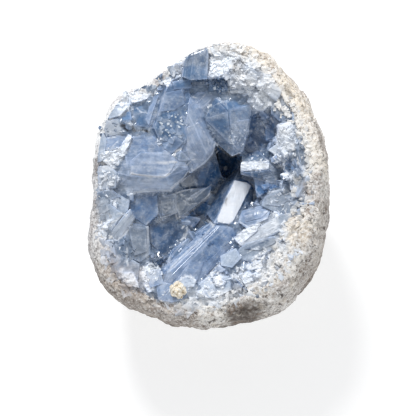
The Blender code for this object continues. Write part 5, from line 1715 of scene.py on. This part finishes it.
def celestite_material():
    material, nodes, shader = new_material("celestite_crystal")
    place = add_node(nodes, "ShaderNodeTexCoord").outputs["Object"]
    tint = painted(nodes, "tint", "Color")
    frost = painted(nodes, "frost")
    clarity = painted(nodes, "clarity")
    lines = painted(nodes, "lines", "Vector")
    along = vector_math(nodes, "DOT_PRODUCT", {0: place, 1: lines}, "Value")
    stretched = vector_math(nodes, "SCALE", {0: lines, "Scale": along})
    stretched = vector_math(nodes, "MULTIPLY_ADD", {0: stretched, 1: (7.0, 7.0, 7.0), 2: place})
    stripes = noise_of(nodes, stretched, 230.0, 4.0, 0.6)
    stretched_little = vector_math(nodes, "MULTIPLY_ADD",
                                   {0: stretched, 1: (0.25, 0.25, 0.25), 2: place})
    clouds = noise_of(nodes, place, 420.0, 6.0, 0.65)
    cloudy = ramp(nodes, clouds, ((0.46, (0.0, 0.0, 0.0)), (0.58, (1.0, 1.0, 1.0))))
    veils = noise_of(nodes, place, 1100.0, 5.0, 0.65)
    milk = ramp(nodes, clouds, ((0.45, (0.0, 0.0, 0.0)), (0.66, (1.0, 1.0, 1.0))))
    milk = number(nodes, "MULTIPLY", milk, 0.28)
    colour = mix_colours(nodes, milk, tint, (0.72, 0.80, 0.92))
    inside = number(nodes, "MULTIPLY", clarity, 4.0)
    inside = number(nodes, "ADD", inside, number(nodes, "MULTIPLY", frost, 0.3))
    for scale, low, high in ((380.0, 0.88, 1.10), (950.0, 0.88, 1.10)):
        sheets = add_node(nodes, "ShaderNodeTexVoronoi", {"Vector": place, "Scale": scale})
        brightness = add_node(nodes, "ShaderNodeSeparateColor",
                              {0: sheets.outputs["Color"]}).outputs[0]
        plane = ramp(nodes, brightness, ((0.0, (low, low, low)), (1.0, (high, high, high))))
        colour = mix_colours(nodes, inside, colour, plane, "MULTIPLY")
    for scale, width in ((420.0, 0.022), (900.0, 0.030)):
        cracks = add_node(nodes, "ShaderNodeTexVoronoi", {"Vector": stretched_little,
                                                          "Scale": scale},
                          feature="DISTANCE_TO_EDGE").outputs["Distance"]
        line = ramp(nodes, cracks, ((0.0, (1.0, 1.0, 1.0)), (width, (0.0, 0.0, 0.0))))
        line = number(nodes, "MULTIPLY", line, number(nodes, "MULTIPLY", cloudy, 0.55))
        colour = mix_colours(nodes, line, colour, (0.74, 0.80, 0.90))
    streak = ramp(nodes, stripes, ((0.38, (0.84, 0.87, 0.91)), (0.50, (1.0, 1.0, 1.0)),
                                   (0.64, (1.22, 1.18, 1.13))))
    colour = mix_colours(nodes, inside, colour, streak, "MULTIPLY")
    dim = ramp(nodes, veils, ((0.36, (0.80, 0.83, 0.87)), (0.48, (1.0, 1.0, 1.0))))
    colour = mix_colours(nodes, inside, colour, dim, "MULTIPLY")
    speck = ramp(nodes, veils, ((0.58, (0.0, 0.0, 0.0)), (0.70, (1.0, 1.0, 1.0))))
    colour = mix_colours(nodes, number(nodes, "MULTIPLY", speck, 0.35), colour,
                         (0.85, 0.90, 0.96))
    nodes.links.new(colour, shader.inputs["Base Color"])
    roughness = number(nodes, "ADD", number(nodes, "MULTIPLY", frost, 0.45), 0.10)
    roughness = number(nodes, "ADD", roughness, number(nodes, "MULTIPLY", veils, 0.12))
    nodes.links.new(roughness, shader.inputs["Roughness"])
    nodes.links.new(clarity, shader.inputs["Transmission Weight"])
    shader.inputs["IOR"].default_value = CELESTITE_IOR
    bump_height = number(nodes, "ADD", number(nodes, "MULTIPLY", stripes, 0.6),
                         number(nodes, "MULTIPLY", veils, 0.4))
    bump = add_node(nodes, "ShaderNodeBump", {"Height": bump_height, "Strength": 0.12,
                                              "Distance": 0.0002})
    nodes.links.new(bump.outputs["Normal"], shader.inputs["Normal"])
    depth = add_node(nodes, "ShaderNodeVolumeAbsorption",
                     {"Color": ABSORBED, "Density": ABSORPTION})
    output = nodes.nodes["Material Output"]
    nodes.links.new(depth.outputs["Volume"], output.inputs["Volume"])
    return material


celestite = celestite_material()
for item in (crust, flakes):
    item.data.materials.clear()
    item.data.materials.append(celestite)


# %% Rock
BEDDING = TO_WORLD.to_3x3() @ Vector((0.0, 0.0, 1.0))


def rock_material():
    material, nodes, shader = new_material("sugary_rock")
    place = add_node(nodes, "ShaderNodeTexCoord").outputs["Object"]
    tint = painted(nodes, "tint", "Color")
    warmth = painted(nodes, "warmth")
    layers = vector_math(nodes, "DOT_PRODUCT", {0: place, 1: BEDDING}, "Value")
    layers = vector_math(nodes, "SCALE", {0: BEDDING, "Scale": layers})
    place = vector_math(nodes, "MULTIPLY_ADD", {0: layers, 1: (2.0, 2.0, 2.0), 2: place})
    broad = noise_of(nodes, place, 130.0, 5.0, 0.6)
    patches = noise_of(nodes, place, 250.0, 10.0, 0.80)
    grit = noise_of(nodes, place, 640.0, 4.0, 0.62)
    specks = noise_of(nodes, place, 1300.0, 8.0, 0.82)
    warm = ramp(nodes, broad, ((0.38, (0.68, 0.63, 0.61)), (0.50, (1.00, 0.98, 0.96)),
                               (0.62, (1.12, 1.10, 1.06))))
    colour = mix_colours(nodes, 1.0, tint, warm, "MULTIPLY")
    for factor, low, high, share, tone in (
            (patches, 0.47, 0.43, 0.75, (0.25, 0.185, 0.14)),
            (patches, 0.54, 0.60, 0.45, (0.90, 0.80, 0.66)),
            (grit, 0.425, 0.385, 0.88, (0.09, 0.07, 0.06))):
        spot = ramp(nodes, factor, ((min(low, high), (float(low > high),) * 3),
                                    (max(low, high), (float(high > low),) * 3)))
        strength = number(nodes, "MULTIPLY", number(nodes, "MULTIPLY", spot, share), warmth)
        colour = mix_colours(nodes, strength, colour, tone)
    dark = ramp(nodes, specks, ((0.41, (1.0, 1.0, 1.0)), (0.45, (0.0, 0.0, 0.0))))
    colour = mix_colours(nodes, number(nodes, "MULTIPLY", dark, 0.80), colour,
                         (0.10, 0.085, 0.075))
    white = ramp(nodes, specks, ((0.51, (0.0, 0.0, 0.0)), (0.56, (1.0, 1.0, 1.0))))
    clean = ramp(nodes, tint, ((0.15, (0.12, 0.12, 0.12)), (0.65, (0.85, 0.85, 0.85))))
    colour = mix_colours(nodes, number(nodes, "MULTIPLY", white, clean), colour,
                         (0.94, 0.925, 0.90))
    nodes.links.new(colour, shader.inputs["Base Color"])
    shader.inputs["Roughness"].default_value = 0.82
    bump = add_node(nodes, "ShaderNodeBump", {"Height": specks, "Strength": 0.5,
                                              "Distance": 0.0003})
    nodes.links.new(bump.outputs["Normal"], shader.inputs["Normal"])
    return material


rock.data.materials.append(rock_material())


# %% Cream mineral
def grain_material():
    material, nodes, shader = new_material("cream_mineral_grain")
    place = add_node(nodes, "ShaderNodeTexCoord").outputs["Object"]
    mottle = noise_of(nodes, place, 1400.0, 6.0, 0.65)
    colour = ramp(nodes, mottle, ((0.36, (0.40, 0.31, 0.20)), (0.48, (0.86, 0.77, 0.62)),
                                  (0.62, (0.95, 0.92, 0.85))))
    nodes.links.new(colour, shader.inputs["Base Color"])
    shader.inputs["Roughness"].default_value = 0.7
    bump = add_node(nodes, "ShaderNodeBump", {"Height": mottle, "Strength": 0.5,
                                              "Distance": 0.0002})
    nodes.links.new(bump.outputs["Normal"], shader.inputs["Normal"])
    return material


grain.data.materials.append(grain_material())

# %% [markdown]
# ## Floor, light and camera
#
# The photograph has a white ground and soft light from above. Here the stone lies on a pale
# floor, a large soft lamp stands over its upper end, and the sky is white. The camera looks
# straight into the opening from 0.3 m away, as the drawing of the crystals was made.

# %% Floor
FLOOR_SIZE = 3.0


def build_floor():
    mesh = bmesh.new()
    bmesh.ops.create_grid(mesh, x_segments=1, y_segments=1, size=FLOOR_SIZE / 2)
    floor = to_object(mesh, "floor")
    floor.location.z = -0.0002
    material, nodes, shader = new_material("pale_floor")
    shader.inputs["Base Color"].default_value = (0.50, 0.50, 0.50, 1.0)
    shader.inputs["Roughness"].default_value = 0.9
    shader.inputs["Emission Color"].default_value = (1.0, 1.0, 1.0, 1.0)
    shader.inputs["Emission Strength"].default_value = 0.60
    floor.data.materials.append(material)


build_floor()


# %% Lights
def area_light(name, place, aim, size, power, colour=(1.0, 1.0, 1.0)):
    lamp = bpy.data.lights.new(name, "AREA")
    lamp.shape = "DISK"
    lamp.size = size
    lamp.energy = power
    lamp.color = colour
    item = bpy.data.objects.new(name, lamp)
    item.location = place
    item.rotation_euler = (Vector(aim) - Vector(place)).to_track_quat("-Z", "Y").to_euler()
    bpy.context.scene.collection.objects.link(item)


area_light("key", (-0.12, 0.30, 0.42), (0, 0, 0.03), 0.15, 2.1)
area_light("fill", (0.30, -0.25, 0.40), (0, 0, 0.03), 0.30, 0.35, (0.95, 0.98, 1.0))

world = bpy.data.worlds.new("white_room")
world.use_nodes = True
world.node_tree.nodes["Background"].inputs["Color"].default_value = (0.95, 0.97, 1.0, 1.0)
world.node_tree.nodes["Background"].inputs["Strength"].default_value = 0.54
bpy.context.scene.world = world

# %% Camera
SENSOR = 36.0
IMAGE_STEPS = 416
lens_data = bpy.data.cameras.new("camera")
lens_data.sensor_width = SENSOR
lens_data.lens = SENSOR * VIEW_DISTANCE / (IMAGE_STEPS * VIEW_STEP)
lens_data.clip_start = 0.01
lens_data.clip_end = 10.0
camera = bpy.data.objects.new("camera", lens_data)
bpy.context.scene.collection.objects.link(camera)
camera.location = TO_WORLD @ Vector((0.0, SIGHT_Y, VIEW_DISTANCE))
camera.rotation_euler = (LEAN, 0.0, 0.0)
bpy.context.scene.camera = camera
bpy.context.scene.view_settings.view_transform = "Standard"
bpy.context.scene.cycles.use_denoising = True
